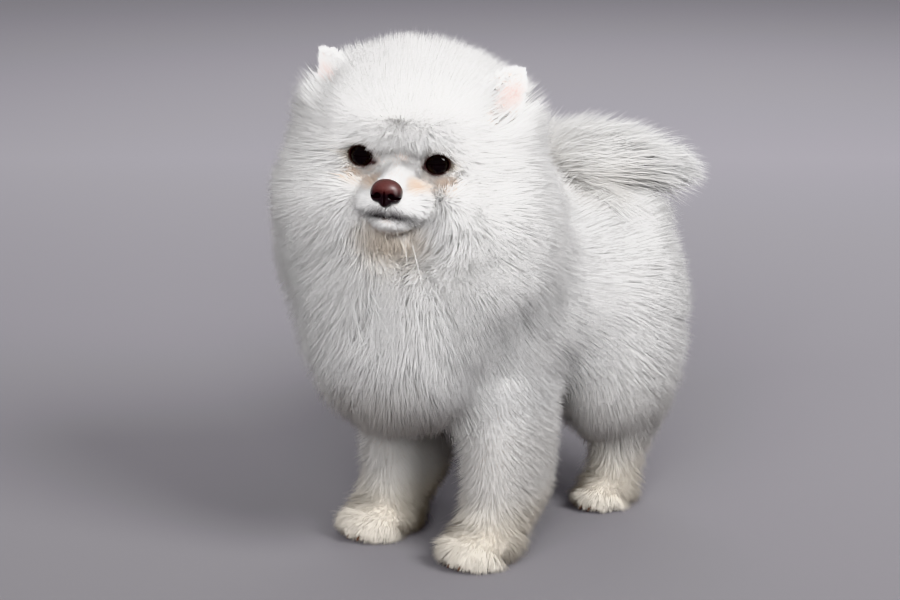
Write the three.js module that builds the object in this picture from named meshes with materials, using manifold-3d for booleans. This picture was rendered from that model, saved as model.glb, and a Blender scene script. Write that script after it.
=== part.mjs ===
// A small white pomeranian, standing, its head turned a little to its left.
// Lengths are in millimetres, +Z is up, the animal faces -Y and its left side is +X.
// Every outline is the outer surface of the coat, out to the tips of the hair.
// The group's origin is the middle of the bottom of the whole animal's box, on the floor.

import * as THREE from "three";
import { mergeVertices } from "three/addons/utils/BufferGeometryUtils.js";
import Module from "manifold-3d";

const wasm = await Module();
wasm.setup();

// ---------------------------------------------------------------- sizes
const GAP = 0.3; // clear width of each parting cut
const FLOOR = 0; // level of the soles

// stance
const FORE_Y = -60; // fore feet, from the middle of the stance
const HIND_Y = 69;
const FORE_X = 40; // half the width between the fore feet
const HIND_X = 39;

// trunk
const TRUNK_Z = 148; // height of the trunk's axis
const CHEST = { c: [0, -40, 150], r: [74, 66, 76] };
const BARREL = { c: [0, 15, 152], r: [73, 84, 70] };
const RUMP = { c: [0, 69, 138], r: [84, 79, 80] };
const THIGH = { c: [40, 70, 98], r: [43, 54, 57] };
const TRUNK_BLEND = 16;

// neck with its ruff and bib
const RUFF = { c: [-4, -75, 191], r: [95, 77, 73] };
const BIB = { c: [-2, -97, 146], r: [65, 54, 70] };
const NAPE = { c: [0, -36, 214], r: [64, 44, 52] };
const NAPE_BLEND = 26;
const NECK_BLEND = 18;

// head
const HEAD_CENTRE = [4.93, -85.24, 252];
const HEAD_YAW = 27; // degrees to the animal's left
const HEAD_ROLL = 4.5; // degrees, left ear lower
const HEAD_PITCH = 0;
const SKULL = { c: [0, -4, 0], r: [77, 62, 66] }; // left, forward, up from the head's centre
const CHEEK = { c: [42, 8, -30], r: [42, 44, 42] };
const BROW = { c: [0, 24, 25], r: [51, 35, 28] };
const TEMPLE = { c: [52, -6, 24], r: [24, 36, 25] };
const CHEEK_PAD = { c: [26, 33, -23], r: [19, 17, 16] };
const FACE_HOLLOW = { c: [0, 70, -10], r: [40, 34, 22.5] };
const CHIN_HOLLOW = { c: [0, 76, -25], r: [36, 40, 30] }; // the same hollow, where the ruff runs up into it
const HEAD_BLEND = 14;
const HOLLOW_BLEND = 6;
const PAD_BLEND = 16;

// muzzle, nose, eyes
const MUZZLE = { c: [0, 45, -19], r: [20, 27, 15] };
const LIP = { c: [9, 54, -22], r: [12, 16, 10] };
const CHIN = { c: [0, 50, -31], r: [12, 18, 9] };
const MUZZLE_BLEND = 6;
const NOSE = { c: [0, 71, -13], r: [9, 7, 7.6] };
const EYE = { c: [21, 38, 0.5], r: 9.5 };

// ears
const EAR = { c: [50.5, 4, 37.5], r: [19, 8, 20], lean: 42, turn: 12 };
const EAR_HOLLOW = { c: [0, 22, 13], r: [16, 20, 15] }; // the coat stands back in front of the ear; in the ear's own frame

// legs: a leg is a row of stations, each with a height, a centre, a half width,
// a depth to the front and a depth to the back
const FORELEG = [
  { z: 9, y: 2, w: 19, d: 20, b: 28 },
  { z: 30, y: 4, w: 22, d: 22, b: 54 },
  { z: 60, y: 6, w: 24, d: 24, b: 58 },
  { z: 100, y: 8, w: 27, d: 30, b: 55 },
  { z: 130, y: 8, w: 26, d: 30, b: 36 },
];
const HINDLEG = [
  { z: 9, y: 2, w: 17, d: 17, b: 20 },
  { z: 28, y: 6, w: 19, d: 18, b: 24 },
  { z: 55, y: 12, w: 24, d: 24, b: 30 },
  { z: 85, y: 12, w: 32, d: 38, b: 38 },
  { z: 115, y: 6, w: 30, d: 36, b: 36 },
];
const FOREPAW = { y: -7, z: 11, r: [25.5, 29, 17], top: 28 };
const HINDPAW = { y: -3, z: 10, r: [20, 26, 15.5], top: 26 };

// tail: a plume that rises from the rump and lies forward over the back
const TAIL_ROOT = { c: [0, 95, 186], r: [34, 33, 38] };
const TAIL_CURL = { c: [6, 70, 226], r: [48, 48, 26] };
const TAIL_FAN = { c: [20, 107, 220], r: [42, 42, 21] };
const TAIL_TIP = { c: [34, 128, 213], r: [28, 28, 12] };
const TAIL_BLEND = 16;

// parting planes: a point and the direction of the part that is cut off
const COLLAR = { p: [4, -78, 200], n: [0.2, -0.45, 0.87] };
const BREAST = { p: [0, 5, 240], n: [0, -0.8, 0.6] };
const CROUP = { p: [0, 20, 224], n: [0, 0.26, 0.966] };
const LEG_TOP = 98;
const LEG_INNER = 7;

const COLOR = {
  coat: "#f1efee",
  cream: "#ece4d4",
  muzzle: "#efe9e4",
  nose: "#4a2320",
  eye: "#0d0b0c",
  ear: "#f0e2de",
};

const V = (a) => new THREE.Vector3(...a);
const rad = THREE.MathUtils.degToRad;

// ---------------------------------------------------------------- the head's frame
const yaw = rad(HEAD_YAW),
  roll = rad(HEAD_ROLL),
  pitch = rad(HEAD_PITCH);
const forward = new THREE.Vector3(
  Math.sin(yaw) * Math.cos(pitch),
  -Math.cos(yaw) * Math.cos(pitch),
  Math.sin(pitch),
);
const left0 = new THREE.Vector3(Math.cos(yaw), Math.sin(yaw), 0);
const up0 = left0.clone().cross(forward).negate();
const left = left0
  .clone()
  .multiplyScalar(Math.cos(roll))
  .addScaledVector(up0, -Math.sin(roll));
const up = up0
  .clone()
  .multiplyScalar(Math.cos(roll))
  .addScaledVector(left0, Math.sin(roll));
// The head's axes are left, backward, up, which is a right-handed set; forward is -Y there.
const headFrame = new THREE.Matrix4()
  .makeBasis(left, forward.clone().negate(), up)
  .setPosition(V(HEAD_CENTRE));
// A field given in (left, forward, up) as one of the (left, backward, up) frame.
const flip = (field) => (p) => field(new THREE.Vector3(p.x, -p.y, p.z));
const toHead = headFrame.clone().invert();
const inHead = (g) => g.applyMatrix4(headFrame);
const H = (l, f, u) => [l, -f, u];

// ---------------------------------------------------------------- fields

// Near enough the distance to an ellipsoid, negative inside.
function ellipsoid(p, e) {
  const x = (p.x - e.c[0]) / e.r[0],
    y = (p.y - e.c[1]) / e.r[1],
    z = (p.z - e.c[2]) / e.r[2];
  const k0 = Math.hypot(x, y, z),
    k1 = Math.hypot(x / e.r[0], y / e.r[1], z / e.r[2]);
  return k1 > 1e-9 ? (k0 * (k0 - 1)) / k1 : -Math.min(...e.r);
}
const pair = (p, e) =>
  ellipsoid(new THREE.Vector3(Math.abs(p.x), p.y, p.z), e);
function join(a, b, k) {
  const h = Math.max(k - Math.abs(a - b), 0) / k;
  return Math.min(a, b) - (h * h * k) / 4;
}
const carve = (a, b, k) => -join(-a, b, k);

const trunkField = (p) =>
  [ellipsoid(p, BARREL), ellipsoid(p, RUMP), pair(p, THIGH)].reduce(
    (a, b) => join(a, b, TRUNK_BLEND),
    ellipsoid(p, CHEST),
  );
const neckField = (p) => {
  const h = p.clone().applyMatrix4(toHead);
  h.y = -h.y;
  return carve(
    join(
      join(ellipsoid(p, RUFF), ellipsoid(p, NAPE), NAPE_BLEND),
      ellipsoid(p, BIB),
      NECK_BLEND,
    ),
    ellipsoid(h, CHIN_HOLLOW),
    NECK_BLEND,
  );
};
const tailField = (p) =>
  [
    ellipsoid(p, TAIL_CURL),
    ellipsoid(p, TAIL_FAN),
    ellipsoid(p, TAIL_TIP),
  ].reduce((a, b) => join(a, b, TAIL_BLEND), ellipsoid(p, TAIL_ROOT));
// In the head's own frame: x left, y forward, z up.
const headField = (p) =>
  join(
    carve(
      [pair(p, CHEEK), ellipsoid(p, BROW), pair(p, TEMPLE)].reduce(
        (a, b) => join(a, b, HEAD_BLEND),
        ellipsoid(p, SKULL),
      ),
      ellipsoid(p, FACE_HOLLOW),
      HOLLOW_BLEND,
    ),
    pair(p, CHEEK_PAD),
    PAD_BLEND,
  );
const muzzleField = (p) =>
  [pair(p, LIP), ellipsoid(p, CHIN)].reduce(
    (a, b) => join(a, b, MUZZLE_BLEND),
    ellipsoid(p, MUZZLE),
  );

// ---------------------------------------------------------------- surfaces
// Moves each vertex along its line from the axis a-b to where the field is zero.
function grownTo(geometry, a, b, field, reach) {
  const pos = geometry.attributes.position,
    axis = b.clone().sub(a),
    long = axis.length();
  if (long > 0) axis.divideScalar(long);
  const p = new THREE.Vector3(),
    q = new THREE.Vector3();
  for (let i = 0; i < pos.count; i++) {
    p.fromBufferAttribute(pos, i);
    const t = THREE.MathUtils.clamp(p.clone().sub(a).dot(axis), 0, long);
    const foot = a.clone().addScaledVector(axis, t);
    const dir = p.clone().sub(foot).normalize();
    let lo = 0,
      hi = 2;
    while (hi < reach && field(q.copy(foot).addScaledVector(dir, hi)) < 0) {
      lo = hi;
      hi += 2;
    }
    for (let k = 0; k < 24; k++) {
      const mid = (lo + hi) / 2;
      if (field(q.copy(foot).addScaledVector(dir, mid)) < 0) lo = mid;
      else hi = mid;
    }
    q.copy(foot).addScaledVector(dir, (lo + hi) / 2);
    pos.setXYZ(i, q.x, q.y, q.z);
  }
  return geometry;
}

// A ball of facets grown from one centre.
const fromCentre = (c, detail, field, reach = 140) =>
  grownTo(
    new THREE.IcosahedronGeometry(1, detail).translate(...c),
    V(c),
    V(c),
    field,
    reach,
  );

// A capsule along Y from y0 to y1, grown outwards from its axis.
function alongY(y0, y1, z, segs, field) {
  const g = new THREE.CapsuleGeometry(
    10,
    y1 - y0,
    segs.cap,
    segs.round,
    segs.length,
  ).translate(0, (y0 + y1) / 2, z);
  return grownTo(
    g,
    new THREE.Vector3(0, y0, z),
    new THREE.Vector3(0, y1, z),
    field,
    140,
  );
}

// Stations stacked along Z, each an oval, closed at both ends.
function legSurface(side, x0, y0, stations, around = 16) {
  const curve = (key) =>
    new THREE.SplineCurve(stations.map((s) => new THREE.Vector2(s.z, s[key])));
  const cy = curve("y"),
    cw = curve("w"),
    cd = curve("d"),
    cb = curve("b");
  const levels = 8,
    profile = [new THREE.Vector2(0, 0)];
  for (let i = 0; i <= levels; i++) profile.push(new THREE.Vector2(1, i));
  profile.push(new THREE.Vector2(0, levels));
  const g = new THREE.LatheGeometry(profile, around);
  g.rotateX(Math.PI / 2);
  const pos = g.attributes.position;
  for (let i = 0; i < pos.count; i++) {
    const t = THREE.MathUtils.clamp(pos.getZ(i) / levels, 0, 1);
    const c = cy.getPoint(t);
    const x = pos.getX(i) * cw.getPoint(t).y,
      y = pos.getY(i) * (pos.getY(i) < 0 ? cd : cb).getPoint(t).y;
    pos.setXYZ(i, side * x0 + x, y0 + c.y + y, c.x);
  }
  return g;
}

// ---------------------------------------------------------------- solids
function solid(geometry) {
  const g = geometry.clone();
  for (const name of Object.keys(g.attributes))
    if (name !== "position") g.deleteAttribute(name);
  const m = mergeVertices(g, 1e-3);
  const tri = [];
  const ix = m.index.array;
  for (let i = 0; i < ix.length; i += 3)
    if (ix[i] !== ix[i + 1] && ix[i + 1] !== ix[i + 2] && ix[i] !== ix[i + 2])
      tri.push(ix[i], ix[i + 1], ix[i + 2]);
  const make = (t) =>
    new wasm.Manifold(
      new wasm.Mesh({
        numProp: 3,
        vertProperties: new Float32Array(m.attributes.position.array),
        triVerts: new Uint32Array(t),
      }),
    );
  const s = make(tri);
  if (s.volume() >= 0) return s;
  for (let i = 0; i < tri.length; i += 3)
    [tri[i + 1], tri[i + 2]] = [tri[i + 2], tri[i + 1]];
  return make(tri);
}

function surfaceOf(s) {
  const m = s.getMesh(),
    n = m.numProp,
    v = new Float32Array(m.numVert * 3);
  for (let i = 0; i < m.numVert; i++)
    v.set(m.vertProperties.subarray(i * n, i * n + 3), i * 3);
  const g = new THREE.BufferGeometry();
  g.setAttribute("position", new THREE.BufferAttribute(v, 3));
  g.setIndex(new THREE.BufferAttribute(new Uint32Array(m.triVerts), 1));
  g.computeVertexNormals();
  return g;
}

// A block on the far side of a plane, moved on by `shift` along the plane's normal.
function beyond(plane, shift, size = [400, 400, 300]) {
  const n = V(plane.n).normalize();
  const g = new THREE.BoxGeometry(...size).translate(0, 0, size[2] / 2);
  const turn = new THREE.Quaternion().setFromUnitVectors(
    new THREE.Vector3(0, 0, 1),
    n,
  );
  g.applyQuaternion(turn);
  const p = V(plane.p).addScaledVector(n, shift);
  g.translate(p.x, p.y, p.z);
  return solid(g);
}
function block(lo, hi, grow = 0) {
  const size = hi.map((h, i) => h - lo[i] + 2 * grow),
    mid = hi.map((h, i) => (h + lo[i]) / 2);
  return solid(new THREE.BoxGeometry(...size).translate(...mid));
}

// ---------------------------------------------------------------- the whole animal
const trunk = solid(
  alongY(-40, 72, TRUNK_Z, { cap: 7, round: 28, length: 6 }, trunkField),
);
const neck = solid(fromCentre([0, -70, 170], 6, neckField));
const tail = solid(fromCentre([12, 98, 210], 4, tailField));
const skull = solid(
  inHead(fromCentre(H(0, 0, 0), 6, flip(headField))),
);
const muzzle = (extra) =>
  solid(
    inHead(
      fromCentre(
        H(0, 47, -21),
        3,
        flip((p) => muzzleField(p) - extra),
      ),
    ),
  );
const legs = {};
for (const [name, side] of [
  ["left", 1],
  ["right", -1],
]) {
  legs["fore_" + name] = solid(
    legSurface(side, FORE_X, FORE_Y, FORELEG),
  ).add(
    solid(
      new THREE.SphereGeometry(1, 16, 9)
        .scale(...FOREPAW.r)
        .translate(side * FORE_X, FORE_Y + FOREPAW.y, FOREPAW.z),
    ),
  );
  legs["hind_" + name] = solid(
    legSurface(side, HIND_X, HIND_Y, HINDLEG),
  ).add(
    solid(
      new THREE.SphereGeometry(1, 16, 9)
        .scale(...HINDPAW.r)
        .translate(side * HIND_X, HIND_Y + HINDPAW.y, HINDPAW.z),
    ),
  );
}

let body = trunk.add(neck).add(skull).add(tail);
for (const l of Object.values(legs)) body = body.add(l);
const FAR = 400;
body = body.intersect(block([-FAR, -FAR, FLOOR], [FAR, FAR, FAR]));

// ---------------------------------------------------------------- eyes, nose and ears
const eyeBall = (side, extra) =>
  solid(
    inHead(
      new THREE.SphereGeometry(EYE.r + extra, 14, 9).translate(
        ...H(side * EYE.c[0], EYE.c[1], EYE.c[2]),
      ),
    ),
  );
const noseBall = (extra) =>
  solid(
    inHead(
      new THREE.SphereGeometry(1, 14, 9)
        .scale(NOSE.r[0] + extra, NOSE.r[1] + extra, NOSE.r[2] + extra)
        .translate(...H(...NOSE.c)),
    ),
  );
// From the ear's own frame to where the ear stands on the head.
const onEar = (g, side) =>
  solid(
    inHead(
      g
        .rotateZ(rad(side * EAR.turn))
        .rotateY(rad(side * EAR.lean))
        .translate(...H(side * EAR.c[0], EAR.c[1], EAR.c[2])),
    ),
  );
const earHollow = (side) =>
  onEar(
    new THREE.SphereGeometry(1, 14, 9)
      .scale(...EAR_HOLLOW.r)
      .translate(...H(...EAR_HOLLOW.c)),
    side,
  );
const earShell = (side, extra) => {
  const g = new THREE.SphereGeometry(1, 14, 9);
  const pos = g.attributes.position;
  for (let i = 0; i < pos.count; i++) {
    // narrower towards the tip, and hollowed on the side that faces forward
    const x = pos.getX(i),
      y = pos.getY(i),
      z = pos.getZ(i);
    const taper = 1 - 0.28 * Math.max(z, 0) ** 2;
    const cup = y < 0 ? 0.45 : 1;
    pos.setXYZ(
      i,
      x * taper * (EAR.r[0] + extra),
      y * cup * (EAR.r[1] + extra),
      z * (EAR.r[2] + extra),
    );
  }
  return onEar(g, side);
};

const pieces = new Map();
for (const [name, side] of [
  ["left", 1],
  ["right", -1],
]) {
  pieces.set("eye_" + name, eyeBall(side, 0));
  pieces.set("ear_" + name, earShell(side, 0));
  body = body
    .subtract(eyeBall(side, GAP))
    .subtract(earHollow(side))
    .subtract(earShell(side, GAP));
}
pieces.set("nose", noseBall(0));
pieces.set(
  "muzzle",
  muzzle(0)
    .subtract(noseBall(GAP))
    .subtract(eyeBall(1, GAP))
    .subtract(eyeBall(-1, GAP)),
);
body = body.subtract(noseBall(GAP)).subtract(muzzle(GAP));

// ---------------------------------------------------------------- parting
function part(name, region, kept) {
  pieces.set(name, body.intersect(region));
  body = body.subtract(kept);
}
// head off the neck
const above = body.intersect(beyond(COLLAR, GAP));
body = body.subtract(beyond(COLLAR, 0));
pieces.set("head", above);
// tail off the rump
const backOnly = (grow) =>
  block([-FAR, 14, 150], [FAR, FAR, FAR], grow);
part(
  "tail",
  beyond(CROUP, GAP).intersect(backOnly(0)),
  beyond(CROUP, 0).intersect(backOnly(GAP)),
);
// legs off the trunk, paws off the legs
for (const [name, side] of [
  ["left", 1],
  ["right", -1],
]) {
  for (const [which, y0, y1, paw] of [
    ["fore", -115, 14, FOREPAW],
    ["hind", 22, 140, HINDPAW],
  ]) {
    const xs = [side * LEG_INNER, side * 90].sort((a, b) => a - b);
    const sole = block([xs[0], y0, -1], [xs[1], y1, paw.top - GAP]);
    pieces.set(which + "paw_" + name, body.intersect(sole));
    const shank = block([xs[0], y0, paw.top], [xs[1], y1, LEG_TOP]);
    pieces.set(which + "leg_" + name, body.intersect(shank));
    body = body.subtract(block([xs[0], y0, -1], [xs[1], y1, LEG_TOP], GAP));
  }
}
// neck off the trunk
part("neck", beyond(BREAST, GAP), beyond(BREAST, 0));
// what is left is the trunk, without the sliver that the cuts leave under the bib
pieces.set(
  "trunk",
  body.decompose().reduce((a, b) => (a.volume() > b.volume() ? a : b)),
);

// ---------------------------------------------------------------- the scene graph
const shade = (color, roughness) =>
  new THREE.MeshStandardMaterial({ color, roughness, metalness: 0 });
const finish = {
  eye: () => shade(COLOR.eye, 0.06),
  nose: () => shade(COLOR.nose, 0.35),
  ear: () => shade(COLOR.ear, 0.85),
  muzzle: () => shade(COLOR.muzzle, 0.85),
  paw: () => shade(COLOR.cream, 0.9),
  coat: () => shade(COLOR.coat, 0.9),
};
const finishOf = (name) =>
  name.startsWith("eye")
    ? finish.eye()
    : name.startsWith("nose")
      ? finish.nose()
      : name.startsWith("ear")
        ? finish.ear()
        : name.startsWith("muzzle")
          ? finish.muzzle()
          : name.includes("paw")
            ? finish.paw()
            : finish.coat();

const meshes = [...pieces].map(([name, s]) => {
  // a piece's place is the middle of its own box
  const g = surfaceOf(s);
  g.computeBoundingBox();
  const mid = g.boundingBox.getCenter(new THREE.Vector3());
  g.translate(-mid.x, -mid.y, -mid.z);
  const mesh = new THREE.Mesh(g, finishOf(name));
  mesh.name = name;
  mesh.position.copy(mid);
  return mesh;
});
const byName = Object.fromEntries(meshes.map((m) => [m.name, m]));

const animal = new THREE.Group();
const headGroup = new THREE.Group();
const forehand = new THREE.Group();
const hindquarters = new THREE.Group();
for (const n of [
  "head",
  "muzzle",
  "nose",
  "eye_left",
  "eye_right",
  "ear_left",
  "ear_right",
])
  headGroup.add(byName[n]);
for (const n of [
  "neck",
  "foreleg_left",
  "foreleg_right",
  "forepaw_left",
  "forepaw_right",
])
  forehand.add(byName[n]);
for (const n of [
  "tail",
  "hindleg_left",
  "hindleg_right",
  "hindpaw_left",
  "hindpaw_right",
])
  hindquarters.add(byName[n]);
animal.add(headGroup, forehand, byName.trunk, hindquarters);

// the origin goes to the middle of the box's bottom
animal.updateMatrixWorld(true);
const box = new THREE.Box3().setFromObject(animal, true);
animal.position.set(
  -(box.min.x + box.max.x) / 2,
  -(box.min.y + box.max.y) / 2,
  -box.min.z,
);
const dog = new THREE.Group();
dog.add(animal);

export default dog;
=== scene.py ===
import math
import time

import bpy
import numpy as np
from mathutils.kdtree import KDTree
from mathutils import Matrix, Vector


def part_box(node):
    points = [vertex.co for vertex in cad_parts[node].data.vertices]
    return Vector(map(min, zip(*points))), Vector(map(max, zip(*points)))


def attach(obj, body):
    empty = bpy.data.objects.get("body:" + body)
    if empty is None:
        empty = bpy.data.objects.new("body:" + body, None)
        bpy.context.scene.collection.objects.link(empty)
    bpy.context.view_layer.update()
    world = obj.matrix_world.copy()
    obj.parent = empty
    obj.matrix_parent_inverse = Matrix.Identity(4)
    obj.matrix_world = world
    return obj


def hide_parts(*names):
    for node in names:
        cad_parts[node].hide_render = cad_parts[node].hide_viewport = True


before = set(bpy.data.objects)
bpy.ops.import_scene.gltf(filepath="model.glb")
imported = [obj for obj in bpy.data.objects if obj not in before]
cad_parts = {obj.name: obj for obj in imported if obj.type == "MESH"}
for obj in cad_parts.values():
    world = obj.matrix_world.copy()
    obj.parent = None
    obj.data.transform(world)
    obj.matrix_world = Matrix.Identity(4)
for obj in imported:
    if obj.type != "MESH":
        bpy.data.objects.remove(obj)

T0 = time.perf_counter()
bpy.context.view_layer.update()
F = np.float32
RNG = np.random.default_rng(20)


def log(text):
    print("scene %6.1fs %s" % (time.perf_counter() - T0, text), flush=True)


# ---------------------------------------------------------------- the sizes of the solids
# Millimetres, in the stance's frame: x to the animal's left, y backwards, z up.
FORE_Y, HIND_Y, FORE_X, HIND_X = -60.0, 69.0, 40.0, 39.0
CHEST = ((0, -40, 150), (74, 66, 76))
BARREL = ((0, 15, 152), (73, 84, 70))
RUMP = ((0, 69, 138), (84, 79, 80))
THIGH = ((40, 70, 98), (43, 54, 57))
RUFF = ((-4, -75, 191), (95, 77, 73))
BIB = ((-2, -97, 146), (65, 54, 70))
NAPE = ((0, -36, 214), (64, 44, 52))
HEAD_CENTRE = np.array((4.93, -85.24, 252.0), F)
HEAD_YAW, HEAD_ROLL = math.radians(27), math.radians(4.5)
# in the head's own frame: x left, y forward, z up
SKULL = ((0, -4, 0), (77, 62, 66))
CHEEK = ((42, 8, -30), (42, 44, 42))
BROW = ((0, 24, 25), (51, 35, 28))
TEMPLE = ((52, -2, 24), (24, 34, 25))
CHEEK_PAD = ((26, 33, -23), (19, 17, 16))
FACE_HOLLOW = ((0, 73, -11), (40, 34, 21.5))
CHIN_HOLLOW = ((0, 76, -25), (36, 40, 30))
MUZZLE = ((0, 45, -19), (20, 27, 15))
LIP = ((9, 54, -22), (12, 16, 10))
CHIN = ((0, 50, -31), (12, 18, 9))
NOSE_C = np.array((0, 71, -13), F)
EYE_C, EYE_R = np.array((21, 38, 0.5), F), 9.5
EAR_C, EAR_SIZE = np.array((52, 5, 35.5), F), (19, 8, 20)
EAR_LEAN, EAR_TURN = math.radians(47), math.radians(12)
# the coat stands back in front of each ear; in the ear's own frame
EAR_HOLLOW = ((-3, 22, 13), (14, 17, 14.5))
FORELEG = [(9, 2, 19, 20, 28), (30, 4, 22, 22, 54), (60, 6, 24, 24, 58), (100, 8, 27, 30, 55), (130, 8, 26, 30, 36)]
HINDLEG = [(9, 2, 17, 17, 20), (28, 6, 19, 18, 24), (55, 12, 24, 24, 30), (85, 12, 32, 38, 38), (115, 6, 30, 36, 36)]
FOREPAW = ((FORE_X, FORE_Y - 7, 11), (25.5, 29, 17))
HINDPAW = ((HIND_X, HIND_Y - 3, 10), (20, 26, 15.5))
TAIL_ROOT = ((0, 95, 186), (34, 33, 38))
TAIL_CURL = ((6, 70, 226), (48, 48, 26))
TAIL_FAN = ((20, 107, 220), (42, 42, 21))
TAIL_TIP = ((34, 128, 213), (28, 28, 12))

# the head's axes
_f = np.array((math.sin(HEAD_YAW), -math.cos(HEAD_YAW), 0.0))
_l0 = np.array((math.cos(HEAD_YAW), math.sin(HEAD_YAW), 0.0))
_u0 = np.array((0.0, 0.0, 1.0))
_l = _l0 * math.cos(HEAD_ROLL) - _u0 * math.sin(HEAD_ROLL)
_u = _u0 * math.cos(HEAD_ROLL) + _l0 * math.sin(HEAD_ROLL)
HEAD_AXES = np.stack([_l, _f, _u]).astype(F)      # rows: left, forward, up


def to_head(p):
    return (p - HEAD_CENTRE) @ HEAD_AXES.T


def from_head(q):
    return np.asarray(q, F) @ HEAD_AXES + HEAD_CENTRE


# where the solids stand: the paws' places give the shift from the stance's frame to the part's
_shifts = []
for _name, _x, _front in (("forepaw", FORE_X, FOREPAW[0][1] - FOREPAW[1][1]), ("hindpaw", HIND_X, HINDPAW[0][1] - HINDPAW[1][1])):
    for _side, _word in ((1, "left"), (-1, "right")):
        _b = np.array(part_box(_name + "_" + _word), float) * 1000
        _shifts.append(((_b[0][0] + _b[1][0]) / 2 - _side * _x, _b[0][1] - _front, 0.0))
SHIFT = np.mean(_shifts, 0).astype(F)


def metres(p):
    return (np.asarray(p, F) + SHIFT) * F(0.001)


# ---------------------------------------------------------------- fields
def ell(p, e):
    c, r = np.array(e[0], F), np.array(e[1], F)
    q = (p - c) / r
    k0 = np.sqrt((q * q).sum(-1))
    q /= r
    k1 = np.sqrt((q * q).sum(-1))
    return k0 * (k0 - 1) / np.maximum(k1, F(1e-6))


def mirrored(p):
    q = p.copy()
    q[..., 0] = np.abs(q[..., 0])
    return q


def join(a, b, k):
    h = np.maximum(k - np.abs(a - b), 0) / k
    return np.minimum(a, b) - h * h * F(k / 4)


def carve(a, b, k):
    return -join(-a, b, k)


def capsule(p, a, b, ra, rb):
    a, b = np.array(a, F), np.array(b, F)
    ab = b - a
    t = np.clip(((p - a) @ ab) / (ab @ ab), 0, 1)
    return np.linalg.norm(p - a - t[..., None] * ab, axis=-1) - (ra + (rb - ra) * t)


def smooth(x, lo, hi):
    t = np.clip((x - lo) / (hi - lo), 0, 1)
    return t * t * (3 - 2 * t)


def leg_field(p, side, x0, y0, stations):
    s = np.array(stations, F)
    z = np.clip(p[..., 2], s[0, 0], s[-1, 0])
    yc, w, d, b = (np.interp(z, s[:, 0], s[:, i]).astype(F) for i in (1, 2, 3, 4))
    dx, dy = p[..., 0] - side * x0, p[..., 1] - y0 - yc
    deep = np.where(dy < 0, d, b)
    q = np.sqrt((dx / w) ** 2 + (dy / deep) ** 2)
    # the distance of a narrow oval, near enough
    r = np.sqrt(dx * dx + dy * dy) + F(1e-3)
    side_d = (q - 1) * r / np.maximum(q, F(1e-3))
    return np.maximum(side_d, np.maximum(s[0, 0] - p[..., 2] - 8, p[..., 2] - s[-1, 0]))


def ear_local(q, side):
    """Head's frame to the ear's own: x out to the side, y forward, z to the tip."""
    p = q - EAR_C * np.array((side, 1, 1), F)
    p = p * np.array((side, 1, 1), F)
    c, s = math.cos(EAR_LEAN), math.sin(EAR_LEAN)
    x, z = c * p[..., 0] - s * p[..., 2], s * p[..., 0] + c * p[..., 2]
    c, s = math.cos(EAR_TURN), math.sin(EAR_TURN)
    y = p[..., 1]
    return np.stack([c * x - s * y, s * x + c * y, z], -1)


def parts_of_coat(p):
    """The outline of each part of the coat, as a field that is negative inside."""
    m, h = mirrored(p), to_head(p)
    hm = mirrored(h)
    face_hollow = ell(h, FACE_HOLLOW)
    out = {
        "chest": ell(p, CHEST), "barrel": ell(p, BARREL), "rump": ell(p, RUMP), "thigh": ell(m, THIGH),
        "ruff": join(ell(p, RUFF), ell(p, NAPE), 26), "bib": ell(p, BIB),
        "tail": join(join(join(ell(p, TAIL_ROOT), ell(p, TAIL_CURL), 16), ell(p, TAIL_FAN), 16), ell(p, TAIL_TIP), 16),
        "foreleg": leg_field(m, 1, FORE_X, FORE_Y, FORELEG), "hindleg": leg_field(m, 1, HIND_X, HIND_Y, HINDLEG),
        "forepaw": ell(m, FOREPAW), "hindpaw": ell(m, HINDPAW),
        "muzzle": join(join(ell(h, MUZZLE), ell(hm, LIP), 6), ell(h, CHIN), 6),
        "skull": join(join(join(ell(h, SKULL), ell(hm, CHEEK), 14), ell(h, BROW), 14), ell(hm, TEMPLE), 10), "pad": ell(hm, CHEEK_PAD),
        "face_hollow": face_hollow, "chin_hollow": ell(h, CHIN_HOLLOW),
    }
    sides = [ear_local(h, s) for s in (1, -1)]
    out["ear"] = np.minimum(*[ell(e, ((0, -2, 0), EAR_SIZE)) for e in sides])
    out["ear_hollow"] = np.minimum(*[ell(e, EAR_HOLLOW) for e in sides])
    return out


def coat_field(p, d=None):
    d = d or parts_of_coat(p)
    trunk = join(join(join(d["chest"], d["barrel"], 16), d["rump"], 16), d["thigh"], 16)
    neck = carve(join(d["ruff"], d["bib"], 18), d["chin_hollow"], 18)
    head = join(carve(d["skull"], d["face_hollow"], 6), d["pad"], 16)
    head = carve(head, d["ear_hollow"], 8)
    body = join(join(trunk, neck, 20), head, 14)
    body = join(body, d["tail"], 36)
    legs = np.minimum(join(d["foreleg"], d["forepaw"], 8), join(d["hindleg"], d["hindpaw"], 8))
    body = join(body, legs, 12)
    return join(join(body, d["muzzle"], 5), d["ear"], 9)


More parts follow.
